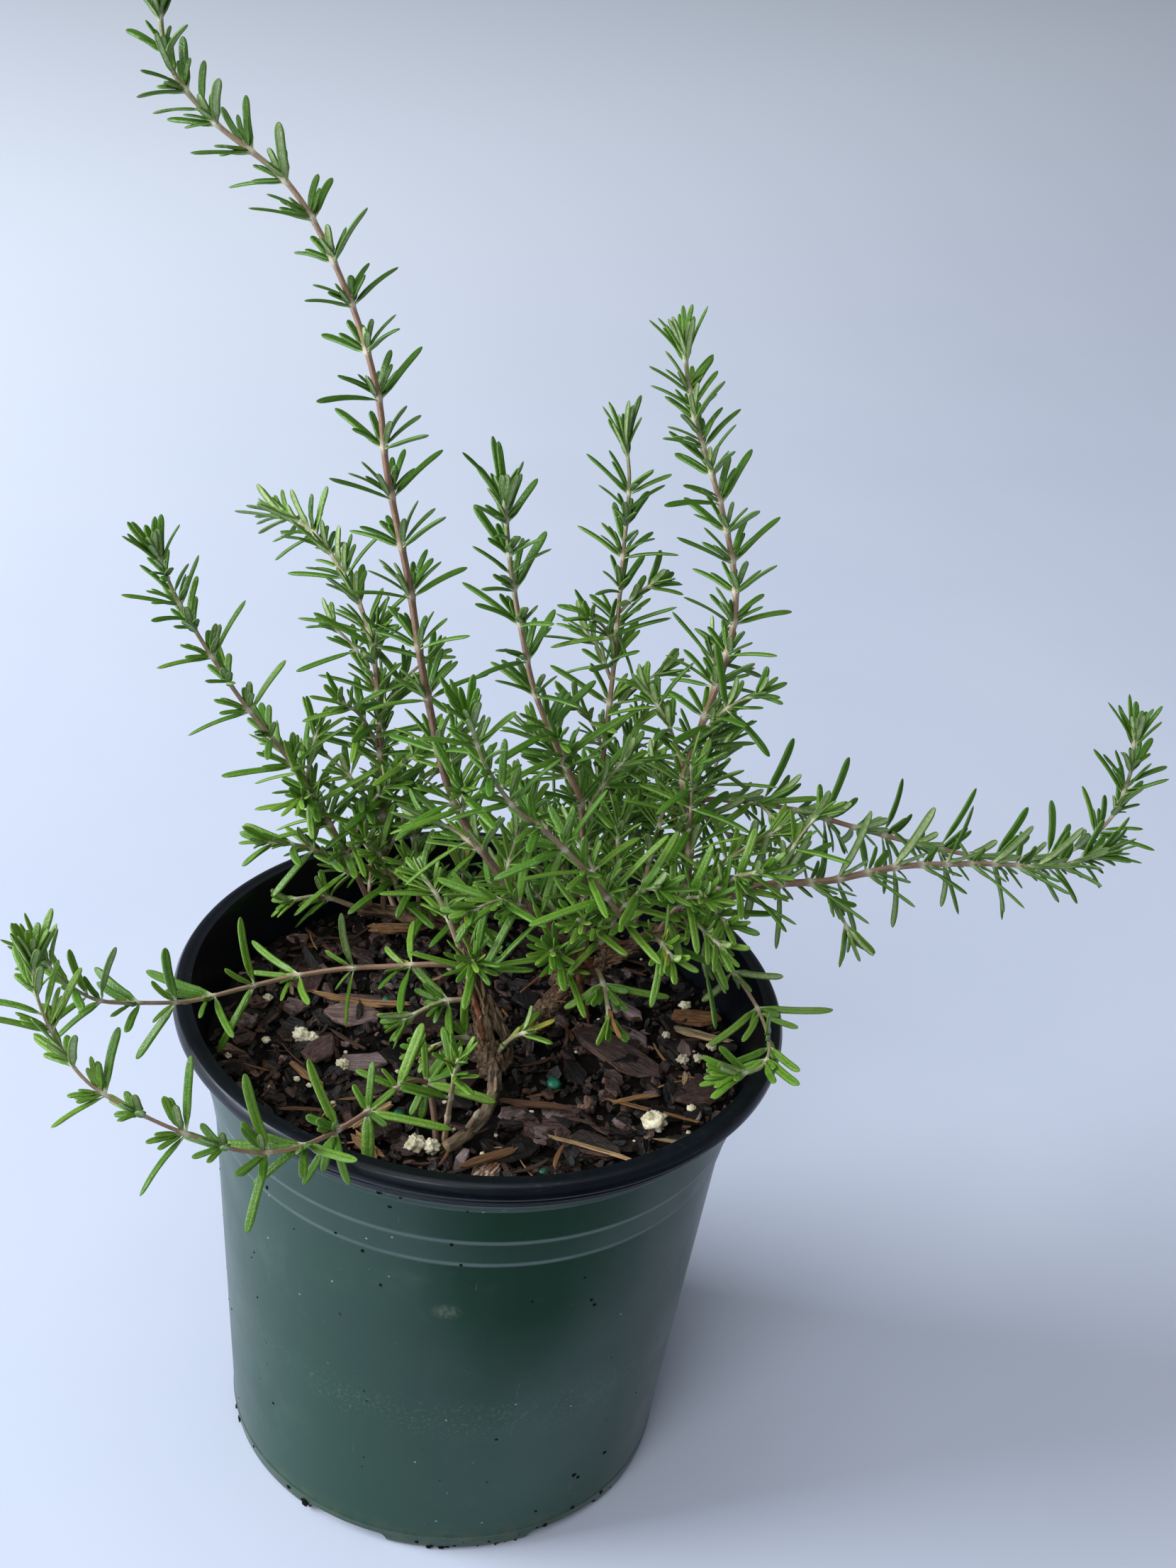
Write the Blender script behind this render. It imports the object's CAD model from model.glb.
import math

import bpy
import numpy as np
from mathutils import Matrix, Vector, noise


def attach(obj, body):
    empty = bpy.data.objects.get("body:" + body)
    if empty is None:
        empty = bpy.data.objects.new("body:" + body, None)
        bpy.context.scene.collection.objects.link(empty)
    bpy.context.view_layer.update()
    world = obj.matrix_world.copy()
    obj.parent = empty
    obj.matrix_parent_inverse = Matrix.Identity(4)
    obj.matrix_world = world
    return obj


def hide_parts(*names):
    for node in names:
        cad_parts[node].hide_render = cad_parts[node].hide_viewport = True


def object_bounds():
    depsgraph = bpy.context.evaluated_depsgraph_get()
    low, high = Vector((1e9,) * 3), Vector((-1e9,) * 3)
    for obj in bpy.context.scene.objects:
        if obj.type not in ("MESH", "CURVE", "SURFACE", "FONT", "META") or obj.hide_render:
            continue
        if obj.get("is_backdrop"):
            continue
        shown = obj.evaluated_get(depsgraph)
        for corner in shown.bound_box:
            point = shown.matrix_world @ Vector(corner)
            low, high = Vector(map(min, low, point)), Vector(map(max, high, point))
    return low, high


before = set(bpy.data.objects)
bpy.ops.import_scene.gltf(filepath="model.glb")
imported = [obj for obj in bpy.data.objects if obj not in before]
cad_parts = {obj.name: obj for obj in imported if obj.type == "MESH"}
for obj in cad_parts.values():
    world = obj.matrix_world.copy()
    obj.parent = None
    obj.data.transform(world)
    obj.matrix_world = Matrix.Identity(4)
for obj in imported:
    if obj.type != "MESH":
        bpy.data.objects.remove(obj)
CAD_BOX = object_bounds()

# A potted rosemary: nursery pot, bark soil, woody crown and leafy stems. Lengths are millimetres.
MM = 0.001
FULL_TURN = 2 * math.pi
SCENE_SEED = 20

# ---- driving dimensions, as in the CAD model ------------------------------------------------

POT = {
    "height": 151.0, "base_radius": 63.2, "foot_radius": 60.8, "corner_height": 2.6, "wall": 1.3,
    "lower_band_height": 116.1, "lower_band_radius": 72.5,
    "upper_band_height": 125.1, "upper_band_radius": 74.4,
    "lip_foot": 141.6, "lip_foot_radius": 79.2, "rim_radius": 84.0, "mouth_radius": 78.7,
}
DRAIN = {
    "count": 6, "first_angle": 250.0, "arch_width": 25.0, "inner_radius": 44.0, "hole_radius": 4.5,
}
GAP = 0.3
SOIL = {"level": 131.6, "swell": 0.9}
CHIPS = {"count": 26, "seed": 5, "reach": 66.0, "sunk": 0.9, "thickness": 2.4}
LEAF = {"width": 2.4, "axil_width": 2.0, "bend": 0.16, "clearance": 0.45}
STEM_STEP = 12

# Woody crown: each limb is a route of x, y, z and the radius there.
LIMBS = {
    "trunk": [(6, -5, 116, 4), (5, -9, 127, 4.6), (5, -10, 134, 4.2), (3, -9, 140, 3.3), (1, -7, 147, 2.7),
              (-1, -4, 153, 2.4), (-4, -1, 158, 2.2), (-7, 2, 162, 1.8)],
    "low_loop": [(-7, -44, 124, 1.8), (-6, -44, 131, 2.6), (0, -44, 134.5, 2.7), (5, -38, 136, 2.6),
                 (7, -29, 136.5, 2.7), (6, -19, 136, 3), (5, -10, 134, 3.2)],
    "bark_limb": [(6, -3, 119, 3.4), (10, 8, 124, 3.6), (13, 12, 132, 3.6), (15, 8, 143, 3.4),
                  (21, 4, 153, 3.4), (28, 1, 161, 3.2), (33, -4, 169, 2.6), (38, -6, 174, 2.2),
                  (45, -5, 179, 2), (53, -3, 184, 1.8), (58, -5, 189, 1.6)],
    "left_limb": [(6, -3, 120, 3), (4, 20, 122, 3), (1, 40, 127, 3.1), (-12, 49, 136.5, 2.9),
                  (-24, 48, 139.5, 2.6), (-33, 46, 142, 2.3), (-41, 42, 145, 1.9)],
    "back_limb": [(20, 5, 152, 2.4), (24, 20, 159, 2.3), (25, 36, 163, 2.2), (25, 50, 166, 2),
                  (26, 61, 170, 1.8)],
}

# Leafy stems: radius at foot and tip, spacing of the leaf pairs, bare foot, and the route.
STEMS = {
    "stem_tall_left": ((1.5, 0.75), (16, 9.5), 34, [
        (28, 1, 161), (22, -2, 171), (4, -4, 189), (-12, 0, 210), (-22, 6, 239), (-29, 12, 266),
        (-37, 18, 293), (-41, 22, 312), (-51, 27, 336), (-66, 32, 358), (-87, 35, 372), (-97, 36, 383),
        (-100, 36, 397)]),
    "stem_left": ((1.3, 0.7), (13, 8), 22, [
        (-36, 45, 143), (-44, 41, 163), (-58, 36, 191), (-76, 32, 217), (-91, 28, 244), (-97, 26, 259)]),
    "stem_back_left": ((1.3, 0.7), (11, 7), 14, [
        (-33, 46, 142), (-33, 43, 161), (-35, 43, 180), (-37, 44, 199), (-40, 47, 222), (-45, 52, 236),
        (-53, 58, 246), (-62, 66, 252), (-72, 75, 252)]),
    "stem_middle": ((1.3, 0.7), (15, 9), 20, [
        (28, 1, 161), (26, 8, 174), (23, 14, 193), (21, 13, 207), (13, 11, 224), (6, 8, 241), (1, 5, 260),
        (-3, 3, 278), (-6, 0, 298)]),
    "stem_front": ((1.3, 0.7), (15, 9), 14, [
        (41, -6, 176), (38, -11, 184), (33, -17, 194), (25, -26, 209), (16, -33, 222), (6, -39, 233),
        (-2, -43, 246), (-7, -46, 260)]),
    "stem_back": ((1.2, 0.65), (14, 8), 12, [
        (26, 61, 170), (26, 64, 186), (26, 67, 200), (26, 71, 216), (25, 74, 246), (24, 76, 275),
        (22, 77, 284)]),
    "stem_tall_right": ((1.4, 0.75), (10, 7), 10, [
        (50, -4, 182), (52, 4, 193), (51, 10, 204), (48, 17, 215), (51, 24, 228), (55, 31, 243),
        (56, 36, 259), (52, 41, 275), (46, 45, 290), (39, 49, 305), (34, 52, 322)]),
    "stem_right_front": ((1.4, 0.7), (10, 6.5), 12, [
        (58, -5, 189), (63, -5, 193), (71, -2, 196), (90, 8, 194), (110, 18, 195), (136, 30, 192),
        (156, 38, 189), (169, 44, 191)]),
    "stem_right_back": ((1.3, 0.7), (11, 7), 16, [
        (25, 50, 166), (34, 53, 177), (46, 52, 186), (60, 53, 189), (80, 56, 187), (107, 60, 180),
        (130, 63, 175), (150, 66, 173), (166, 69, 176), (176, 71, 187), (179, 72, 202), (178, 73, 215)]),
    "stem_over_rim": ((1.1, 0.6), (15, 9), 18, [
        (45, -5, 179), (52, -6, 176), (58, -2, 171), (67, 5, 164), (74, 0, 158.5), (78, -10, 156.5),
        (79, -21, 156.5), (76, -30, 157), (70, -35, 158.5)]),
    "stem_trailing_left": ((1.2, 0.65), (17, 9), 16, [
        (-4, -1, 158), (-12, -3, 159.5), (-25, -3, 157), (-38, -4, 155), (-51, -9, 154), (-63, -20, 156),
        (-74, -32, 159), (-84, -42, 164), (-94, -50, 169), (-100, -56, 177), (-105, -62, 188)]),
    "stem_trailing_front": ((1.3, 0.65), (15, 8.5), 16, [
        (-6, -44, 131), (-8, -42, 142), (-10, -41, 148), (-15, -47, 152), (-22, -61, 153.5),
        (-30, -76, 156.5), (-38, -88, 160), (-48, -97, 165), (-60, -102, 172), (-73, -104, 179),
        (-84, -104, 186), (-92, -101, 195), (-97, -98, 205), (-98, -97, 213)]),
}

# Short side shoots on the limbs, each given by its foot and its tip.
SHOOTS = {
    "left": [
        ((-41, 42, 145), (-60, 33, 150)), ((-29, 47, 141), (-45, 64, 158)), ((-26, 47, 140), (-38, 30, 176)),
        ((-14, 49, 138), (-10, 60, 166)), ((-18, 48, 139), (-26, 30, 170)), ((-9, 48, 135), (-8, 28, 160)),
        ((-22, 48, 139), (-32, 64, 182)),
    ],
    "centre": [
        ((0, -5, 151), (-20, -12, 146)), ((-7, 2, 162), (-20, 10, 180)), ((-2, -3, 155), (-2, -20, 174)),
        ((3, -9, 140), (-12, -24, 146)),
    ],
    "front": [
        ((-4, -44, 132), (-2, -50, 164)), ((1, -43, 135), (12, -52, 158)), ((5, -10, 134), (15, -18, 152)),
    ],
    "right": [
        ((24, 1, 156), (18, -20, 180)), ((30, -1, 165), (36, -18, 158)), ((33, -4, 169), (24, -22, 192)),
        ((46, -5, 180), (56, -26, 206)), ((42, -5, 177), (50, -27, 186)), ((50, -4, 182), (62, -26, 191)),
        ((54, -4, 185), (70, -20, 212)), ((47, -4, 180), (56, 18, 176)), ((34, -4, 170), (32, 8, 206)),
        ((39, -5, 175), (44, 16, 208)),
    ],
    "back": [
        ((24, 30, 161), (2, 48, 190)), ((25, 50, 166), (10, 68, 196)), ((24, 34, 162), (44, 44, 198)),
        ((25, 55, 168), (36, 80, 198)), ((24, 26, 160), (46, 26, 186)), ((23, 20, 159), (4, 26, 184)),
        ((25, 42, 164), (8, 74, 168)),
    ],
}

# ---- small helpers --------------------------------------------------------------------------

MODULUS = 2147483647


def draw(*keys):
    """A repeatable draw between 0 and 1 from whole-number keys, the same as in the CAD model."""
    state = 1
    for key in keys:
        state = (state * 48271 + key * 69621 + 11) % MODULUS
    return ((state * 48271) % MODULUS) / MODULUS


def spread(amount, *keys):
    return amount * (2 * draw(*keys) - 1)


def mix(a, b, share):
    return a + (b - a) * share


def unit(vector):
    return vector / np.linalg.norm(vector)


def unit_rows(vectors):
    return vectors / np.linalg.norm(vectors, axis=1)[:, None]


def angles_round(count):
    """Evenly spaced angles of a full turn."""
    return FULL_TURN * np.arange(count) / count


def on_circle(radius, angle):
    return radius * math.cos(angle), radius * math.sin(angle)


def scattered(rng, reach):
    """A random place x, y within reach of the pot's axis."""
    radius = reach * math.sqrt(rng.uniform())
    return on_circle(radius, rng.uniform(0, FULL_TURN))


def smooth_step(low, high, value):
    t = np.clip((np.asarray(value, float) - low) / (high - low), 0, 1)
    return t * t * (3 - 2 * t)


def srgb(red, green, blue):
    """A colour picked by eye, 0 to 255, as the linear values that shaders take."""
    def linear(value):
        value = value / 255
        return value / 12.92 if value <= 0.04045 else ((value + 0.055) / 1.055) ** 2.4
    return (linear(red), linear(green), linear(blue), 1.0)


# ---- meshes ---------------------------------------------------------------------------------


def add_object(name, data):
    thing = bpy.data.objects.new(name, data)
    bpy.context.scene.collection.objects.link(thing)
    return thing


class Shells:
    """Gathers the closed shells of one piece, with a material and named values for each point."""

    def __init__(self):
        self.points, self.quads, self.triangles = [], [], []
        self.quad_slots, self.triangle_slots, self.values = [], [], {}
        self.count = 0

    def add(self, points, quads, triangles, slot=0, **values):
        self.points.append(points)
        self.quads.append(quads + self.count)
        self.triangles.append(triangles + self.count)
        self.quad_slots.append(np.full(len(quads), slot))
        self.triangle_slots.append(np.full(len(triangles), slot))
        for name, value in values.items():
            column = np.broadcast_to(np.asarray(value, np.float32), (len(points),))
            self.values.setdefault(name, []).append(column)
        self.count += len(points)

    def make(self, name, materials, smooth=True):
        mesh = bpy.data.meshes.new(name)
        points = np.vstack(self.points) * MM
        quads, triangles = np.vstack(self.quads), np.vstack(self.triangles)
        mesh.from_pydata(points.tolist(), [], quads.tolist() + triangles.tolist())
        slots = np.concatenate(self.quad_slots + self.triangle_slots).astype(np.int32)
        for material in materials:
            mesh.materials.append(material)
        mesh.polygons.foreach_set("material_index", slots)
        mesh.polygons.foreach_set("use_smooth", np.full(len(mesh.polygons), smooth))
        for key, parts in self.values.items():
            attribute = mesh.attributes.new(key, "FLOAT", "POINT")
            attribute.data.foreach_set("value", np.concatenate(parts).astype(np.float32))
        mesh.update()
        return add_object(name, mesh)


LOFT_FACES = {}


def loft_faces(rings, sides):
    """Quads between rings, and a fan of triangles on each end round a centre point."""
    if (rings, sides) not in LOFT_FACES:
        k = np.arange(sides)
        after = (k + 1) % sides
        quads = [np.stack([i * sides + k, i * sides + after, (i + 1) * sides + after,
                           (i + 1) * sides + k], 1) for i in range(rings - 1)]
        first, last = rings * sides, (rings - 1) * sides
        start = np.stack([np.full(sides, first), after, k], 1)
        end = np.stack([np.full(sides, first + 1), last + k, last + after], 1)
        LOFT_FACES[rings, sides] = (np.vstack(quads), np.vstack([start, end]))
    return LOFT_FACES[rings, sides]


def loft(ring_points):
    """A closed shell through rings of points, an array of rings by sides by 3."""
    rings, sides = ring_points.shape[:2]
    ends = np.stack([ring_points[0].mean(0), ring_points[-1].mean(0)])
    quads, triangles = loft_faces(rings, sides)
    return np.vstack([ring_points.reshape(-1, 3), ends]), quads, triangles


def by_ring(values, sides, first=0, last=0):
    """A value for each point of a loft, from one for each ring and those of the two end points."""
    return np.append(np.repeat(values, sides), [first, last])


def by_side(values, rings):
    """A value for each point of a loft, from one for each side, and 0 at the two end points."""
    return np.append(np.tile(values, rings), [0, 0])


class Route:
    """A smooth curve through the points of a route, read by its length."""

    SPAN_STEPS = 48

    def __init__(self, route):
        points = np.array(route, float)[:, :3]
        points = np.vstack([2 * points[0] - points[1], points, 2 * points[-1] - points[-2]])
        spans = [self.span(points[i - 1:i + 3]) for i in range(1, len(points) - 2)]
        self.points = np.vstack([*spans, points[-2][None]])
        steps = np.linalg.norm(np.diff(self.points, axis=0), axis=1)
        self.lengths = np.concatenate([[0], np.cumsum(steps)])
        self.length = self.lengths[-1]
        self.slopes = np.gradient(self.points, self.lengths, axis=0)

    def span(self, corners):
        p0, p1, p2, p3 = corners
        d0, d1, d2 = (np.linalg.norm(b - a) ** 0.5 for a, b in ((p0, p1), (p1, p2), (p2, p3)))
        start = ((p1 - p0) / d0 - (p2 - p0) / (d0 + d1) + (p2 - p1) / d1) * d1
        end = ((p2 - p1) / d1 - (p3 - p1) / (d1 + d2) + (p3 - p2) / d2) * d1
        t = np.linspace(0, 1, self.SPAN_STEPS, endpoint=False)[:, None]
        return (p1 + start * t + (3 * (p2 - p1) - 2 * start - end) * t ** 2
                + (2 * (p1 - p2) + start + end) * t ** 3)

    def at(self, along):
        return np.stack([np.interp(along, self.lengths, self.points[:, i]) for i in range(3)], 1)

    def tangent(self, along):
        return unit_rows(np.stack([np.interp(along, self.lengths, self.slopes[:, i]) for i in range(3)], 1))

    def frames(self, along, roll=0.0):
        """Points, tangents and normals; the normals turn as little as they can."""
        points, tangents = self.at(along), self.tangent(along)
        normal = np.array([math.cos(roll), math.sin(roll), 0.1])
        normals = []
        for tangent in tangents:
            normal = unit(normal - tangent * (normal @ tangent))
            normals.append(normal)
        return points, tangents, np.array(normals)


def tube_rings(points, tangents, normals, radii, angles):
    """Rings round a route. radii holds a radius for each ring and angle."""
    binormals = np.cross(tangents, normals)
    return (points[:, None] + normals[:, None] * (radii * np.cos(angles))[..., None]
            + binormals[:, None] * (radii * np.sin(angles))[..., None])


# ---- finishes -------------------------------------------------------------------------------


class Finish:
    """A material, with short calls for the nodes that the finishes use."""

    def __init__(self, name):
        self.material = bpy.data.materials.new(name)
        self.material.use_nodes = True
        self.nodes, self.links = self.material.node_tree.nodes, self.material.node_tree.links
        self.surface = self.nodes["Principled BSDF"]
        self.place = self.nodes.new("ShaderNodeTexCoord").outputs["Object"]

    def set(self, **values):
        """Sets inputs of the surface and returns the material. An underscore stands for a space."""
        self.fill(self.surface, values)
        return self.material

    def fill(self, node, values):
        for name, value in values.items():
            self.put(node.inputs[name.replace("_", " ")], value)

    def put(self, socket, value):
        if isinstance(value, bpy.types.NodeSocket):
            self.links.new(value, socket)
        else:
            socket.default_value = value

    def node(self, kind, **values):
        node = self.nodes.new("ShaderNode" + kind)
        self.fill(node, values)
        return node

    def value(self, name):
        node = self.node("Attribute")
        node.attribute_name = name
        return node.outputs["Fac"]

    def noise(self, scale, detail=3.0, roughness=0.55, vector=None, distortion=0.0):
        return self.node("TexNoise", Vector=vector or self.place, Scale=scale, Detail=detail,
                         Roughness=roughness, Distortion=distortion).outputs["Fac"]

    def cells(self, scale, vector=None):
        """How far a place is from the middle of its cell."""
        return self.node("TexVoronoi", Vector=vector or self.place, Scale=scale).outputs["Distance"]

    def maths(self, operation, *values):
        node = self.node("Math")
        node.operation = operation
        for socket, value in zip(node.inputs, values):
            self.put(socket, value)
        return node.outputs[0]

    def times(self, first, *others):
        for other in others:
            first = self.maths("MULTIPLY", first, other)
        return first

    def plus(self, a, b):
        return self.maths("ADD", a, b)

    def minus(self, a, b):
        return self.maths("SUBTRACT", a, b)

    def apart(self, a, b=0.0):
        """How far a is from b."""
        return self.maths("ABSOLUTE", self.minus(a, b) if b else a)

    def stretch(self, scale, vector=None):
        return self.node("Mapping", Vector=vector or self.place, Scale=scale).outputs["Vector"]

    def join(self, x, y, z):
        return self.node("CombineXYZ", X=x, Y=y, Z=z).outputs["Vector"]

    def split(self, vector):
        return self.node("SeparateXYZ", Vector=vector).outputs

    def length(self, vector):
        node = self.node("VectorMath")
        node.operation = "LENGTH"
        self.put(node.inputs[0], vector)
        return node.outputs["Value"]

    def between(self, value, low, high, start=0.0, end=1.0):
        """start below low, end above high, and smooth between."""
        node = self.node("MapRange", Value=value, From_Min=low, From_Max=high, To_Min=start, To_Max=end)
        node.interpolation_type = "SMOOTHSTEP"
        return node.outputs["Result"]

    def blend(self, share, a, b):
        node = self.node("Mix")
        node.data_type = "RGBA"
        for socket, value in ((node.inputs["Factor"], share), (node.inputs[6], a), (node.inputs[7], b)):
            self.put(socket, value)
        return node.outputs[2]

    def ramp(self, value, *stops):
        node = self.node("ValToRGB", Fac=value)
        elements = node.color_ramp.elements
        while len(elements) < len(stops):
            elements.new(0.5)
        for element, (position, colour) in zip(elements, stops):
            element.position = position
            element.color = colour
        return node.outputs["Color"]

    def bump(self, height, depth, strength=1.0, under=None):
        """Relief of a depth in mm, on top of the relief under it."""
        node = self.node("Bump", Strength=strength, Distance=depth * MM, Height=height)
        if under is not None:
            self.put(node.inputs["Normal"], under)
        return node.outputs["Normal"]


def leaf_finish():
    """Upper side green, quilted, with a middle groove; underside felted beside its rib."""
    f = Finish("leaf")
    across, reach, under = f.value("across"), f.value("reach"), f.value("under")
    shade, dry, run = f.value("shade"), f.value("dry"), f.value("run")
    grain = f.join(run, f.times(across, 1.3), f.times(shade, 40.0))
    quilt = f.cells(2.2, vector=f.stretch((0.7, 1.0, 1.0), grain))
    distance = f.apart(across)
    felt = f.noise(900.0, 3.0, 0.6)
    upper = leaf_upper_side(f, shade, f.noise(0.5, 3.0, 0.6, vector=grain), quilt, distance)
    colour = f.blend(f.between(under, 0.35, 0.8), upper, leaf_underside(f, felt, distance))
    colour = f.blend(f.between(reach, 0.03, 0.14, 0.85, 0.0), colour, srgb(190, 200, 158))
    yellow = f.ramp(f.noise(260.0, 3.0), (0.35, srgb(118, 134, 34)), (0.65, srgb(168, 158, 58)))
    colour = f.blend(f.between(dry, 0.1, 0.55), colour, yellow)
    brown = f.ramp(f.noise(300.0, 3.0), (0.3, srgb(78, 48, 30)), (0.7, srgb(128, 88, 52)))
    colour = f.blend(f.between(dry, 0.6, 0.95), colour, brown)
    relief = f.bump(f.between(quilt, 0.1, 0.8, 1.0, 0.0), 0.09, 0.6)
    return f.set(Base_Color=colour, Roughness=f.between(under, 0.3, 0.8, 0.37, 0.85),
                 Specular_IOR_Level=0.38, Normal=f.bump(felt, 0.03, 0.4, relief))


def leaf_upper_side(f, shade, dapple, quilt, distance):
    """Green with dark seams, a dark groove along the middle and a paler rolled edge."""
    tone = f.plus(f.times(shade, 0.7), f.times(dapple, 0.36))
    green = f.ramp(tone, (0.08, srgb(46, 86, 16)), (0.5, srgb(78, 124, 32)), (0.95, srgb(128, 166, 62)))
    green = f.blend(f.between(quilt, 0.25, 0.8, 0.0, 0.24), green, srgb(38, 74, 16))
    green = f.blend(f.between(distance, 0.04, 0.18, 0.5, 0.0), green, srgb(40, 80, 22))
    return f.blend(f.between(distance, 0.78, 1.0, 0.0, 0.35), green, srgb(126, 158, 84))


def leaf_underside(f, felt, distance):
    """Pale felt between a greener margin and rib."""
    pale = f.ramp(felt, (0.3, srgb(128, 150, 98)), (0.7, srgb(186, 198, 158)))
    pale = f.blend(f.between(distance, 0.42, 0.6), pale, srgb(104, 144, 62))
    return f.blend(f.between(distance, 0.06, 0.2, 0.8, 0.0), pale, srgb(152, 172, 104))


def stem_finish():
    """Pale green and hairy at the tip, pinkish tan lower down, brown at the foot, felt at nodes."""
    f = Finish("stem")
    ripe, felt, run = f.value("ripe"), f.value("felt"), f.value("run")
    fibres = f.noise(1.0, 4.0, 0.6, vector=f.join(f.times(run, 0.25), f.value("turned"), ripe))
    aged = f.plus(ripe, f.times(f.minus(f.noise(220.0, 3.0), 0.5), 0.3))
    colour = f.ramp(aged, (0.0, srgb(128, 150, 84)), (0.13, srgb(144, 146, 104)), (0.28, srgb(160, 136, 112)),
                    (0.6, srgb(150, 116, 96)), (0.85, srgb(118, 90, 72)), (1.0, srgb(88, 68, 54)))
    colour = f.blend(f.between(fibres, 0.36, 0.66, 0.45, 0.0), colour, srgb(104, 76, 64))
    hairs = f.noise(1400.0, 2.0, 0.7)
    bloom = f.times(f.between(hairs, 0.4, 0.65), f.between(ripe, 0.0, 0.8, 0.26, 0.1))
    colour = f.blend(bloom, colour, srgb(184, 182, 162))
    collar = f.times(felt, f.between(f.noise(900.0, 3.0), 0.3, 0.6, 0.6, 0.9),
                     f.between(ripe, 0.5, 0.95, 1.0, 0.35))
    colour = f.blend(collar, colour, srgb(208, 208, 184))
    relief = f.bump(hairs, 0.08, 0.6, f.bump(fibres, 0.3, 0.7))
    return f.set(Base_Color=colour, Roughness=0.78, Normal=relief)


def bark_finish():
    """Fibrous brown-grey bark with pale flaky ridges, dark cracks and sawn end grain."""
    f = Finish("bark")
    run, turned, flake = f.value("run"), f.value("turned"), f.value("flake")
    strands = f.noise(1.0, 5.0, 0.65, vector=f.join(f.times(run, 0.42), turned, flake))
    level = f.plus(f.times(strands, 0.6), f.times(f.value("height"), 0.4))
    warm = f.ramp(level, (0.3, srgb(36, 24, 18)), (0.43, srgb(92, 66, 48)), (0.56, srgb(142, 110, 82)),
                  (0.75, srgb(190, 162, 128)))
    cool = f.ramp(level, (0.3, srgb(34, 28, 23)), (0.43, srgb(84, 72, 58)), (0.56, srgb(122, 108, 86)),
                  (0.75, srgb(164, 150, 124)))
    colour = f.blend(f.value("grey"), warm, cool)
    patches = f.between(f.noise(160.0, 4.0), 0.5, 0.7, 0.0, 0.45)
    colour = f.blend(patches, colour, srgb(110, 72, 50))
    colour = f.blend(f.times(flake, 0.3), colour, srgb(160, 126, 94))
    rings = f.between(f.noise(1100.0, 3.0), 0.35, 0.65)
    sawn = f.blend(rings, srgb(150, 124, 86), srgb(198, 174, 130))
    colour = f.blend(f.value("cut"), colour, sawn)
    relief = f.bump(f.noise(1500.0, 3.0), 0.12, 0.6, f.bump(strands, 1.2, 0.9))
    return f.set(Base_Color=colour, Roughness=0.88, Normal=relief)


# Tint of the pot's highlights.
COOL_SHEEN = (0.8, 0.9, 1.0, 1.0)


def pot_green_finish():
    """Dark green moulded plastic: semi-matte, with dust, dirt specks, a scuff and faint scratches."""
    f = Finish("pot_green")
    x, y, z = f.split(f.place)
    colour = f.ramp(f.noise(9.0, 4.0), (0.3, srgb(11, 51, 32)), (0.7, srgb(18, 60, 40)))
    dust = f.between(f.noise(38.0, 6.0, 0.7), 0.55, 0.8, 0.0, 0.1)
    colour = f.blend(dust, colour, srgb(110, 132, 120))
    low = f.between(z, 2 * MM, 13 * MM, 0.8, 0.0)
    splashed = f.times(low, f.between(f.noise(300.0, 6.0, 0.7), 0.36, 0.66))
    colour = f.blend(splashed, colour, srgb(66, 76, 46))
    colour = f.blend(rubbed_band(f, z), colour, srgb(84, 116, 82))
    colour = f.blend(worn_edges(f, z), colour, srgb(84, 110, 98))
    scratches = f.noise(1.0, 2.0, 0.5, vector=f.stretch((900.0, 900.0, 30.0)), distortion=0.6)
    colour = f.blend(f.between(scratches, 0.73, 0.78, 0.0, 0.16), colour, srgb(140, 160, 150))
    colour = f.blend(scuff_mark(f, x, y, z), colour, srgb(112, 118, 98))
    specks = f.times(f.between(f.cells(150.0), 0.07, 0.12, 1.0, 0.0),
                     f.between(f.noise(60.0, 2.0), 0.6, 0.66))
    colour = f.blend(specks, colour, srgb(20, 14, 11))
    motes = f.times(f.between(f.cells(230.0, vector=f.stretch((1.0, 1.0, 1.07))), 0.05, 0.09, 0.8, 0.0),
                    f.between(f.noise(50.0, 2.0), 0.54, 0.6))
    colour = f.blend(motes, colour, srgb(150, 166, 152))
    relief = f.bump(specks, 0.3, 0.6, f.bump(f.noise(420.0, 3.0, 0.6), 0.04, 0.4))
    return f.set(Base_Color=colour, Roughness=f.between(f.noise(45.0, 4.0), 0.3, 0.7, 0.28, 0.36),
                 Specular_IOR_Level=0.56, Specular_Tint=COOL_SHEEN, Normal=relief)


def rubbed_band(f, z):
    """A paler band round the wall, where it is rubbed."""
    band = f.between(f.apart(z, RUBBED_HEIGHT * MM), 2 * MM, 11 * MM, 0.4, 0.0)
    fine = f.between(f.noise(1000.0, 4.0, 0.7), 0.52, 0.66)
    return f.times(band, fine, f.between(f.noise(50.0, 3.0), 0.36, 0.56))


def worn_edges(f, z):
    """Light on the edges of the two bands and under the lip."""
    glow = 0.0
    for height in (POT["lower_band_height"], POT["upper_band_height"]):
        apart = f.apart(z, (height - 0.5 * BAND_CHAMFER) * MM)
        glow = f.plus(glow, f.between(apart, 0.2 * BAND_CHAMFER * MM, BAND_CHAMFER * MM, 0.4, 0.0))
    below_lip = f.apart(z, (POT["lip_foot"] - 0.5) * MM)
    glow = f.plus(glow, f.between(below_lip, 0.2 * MM, 0.7 * MM, 0.6, 0.0))
    return f.times(glow, f.between(f.noise(120.0, 3.0), 0.25, 0.6, 0.65, 1.0))


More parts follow.
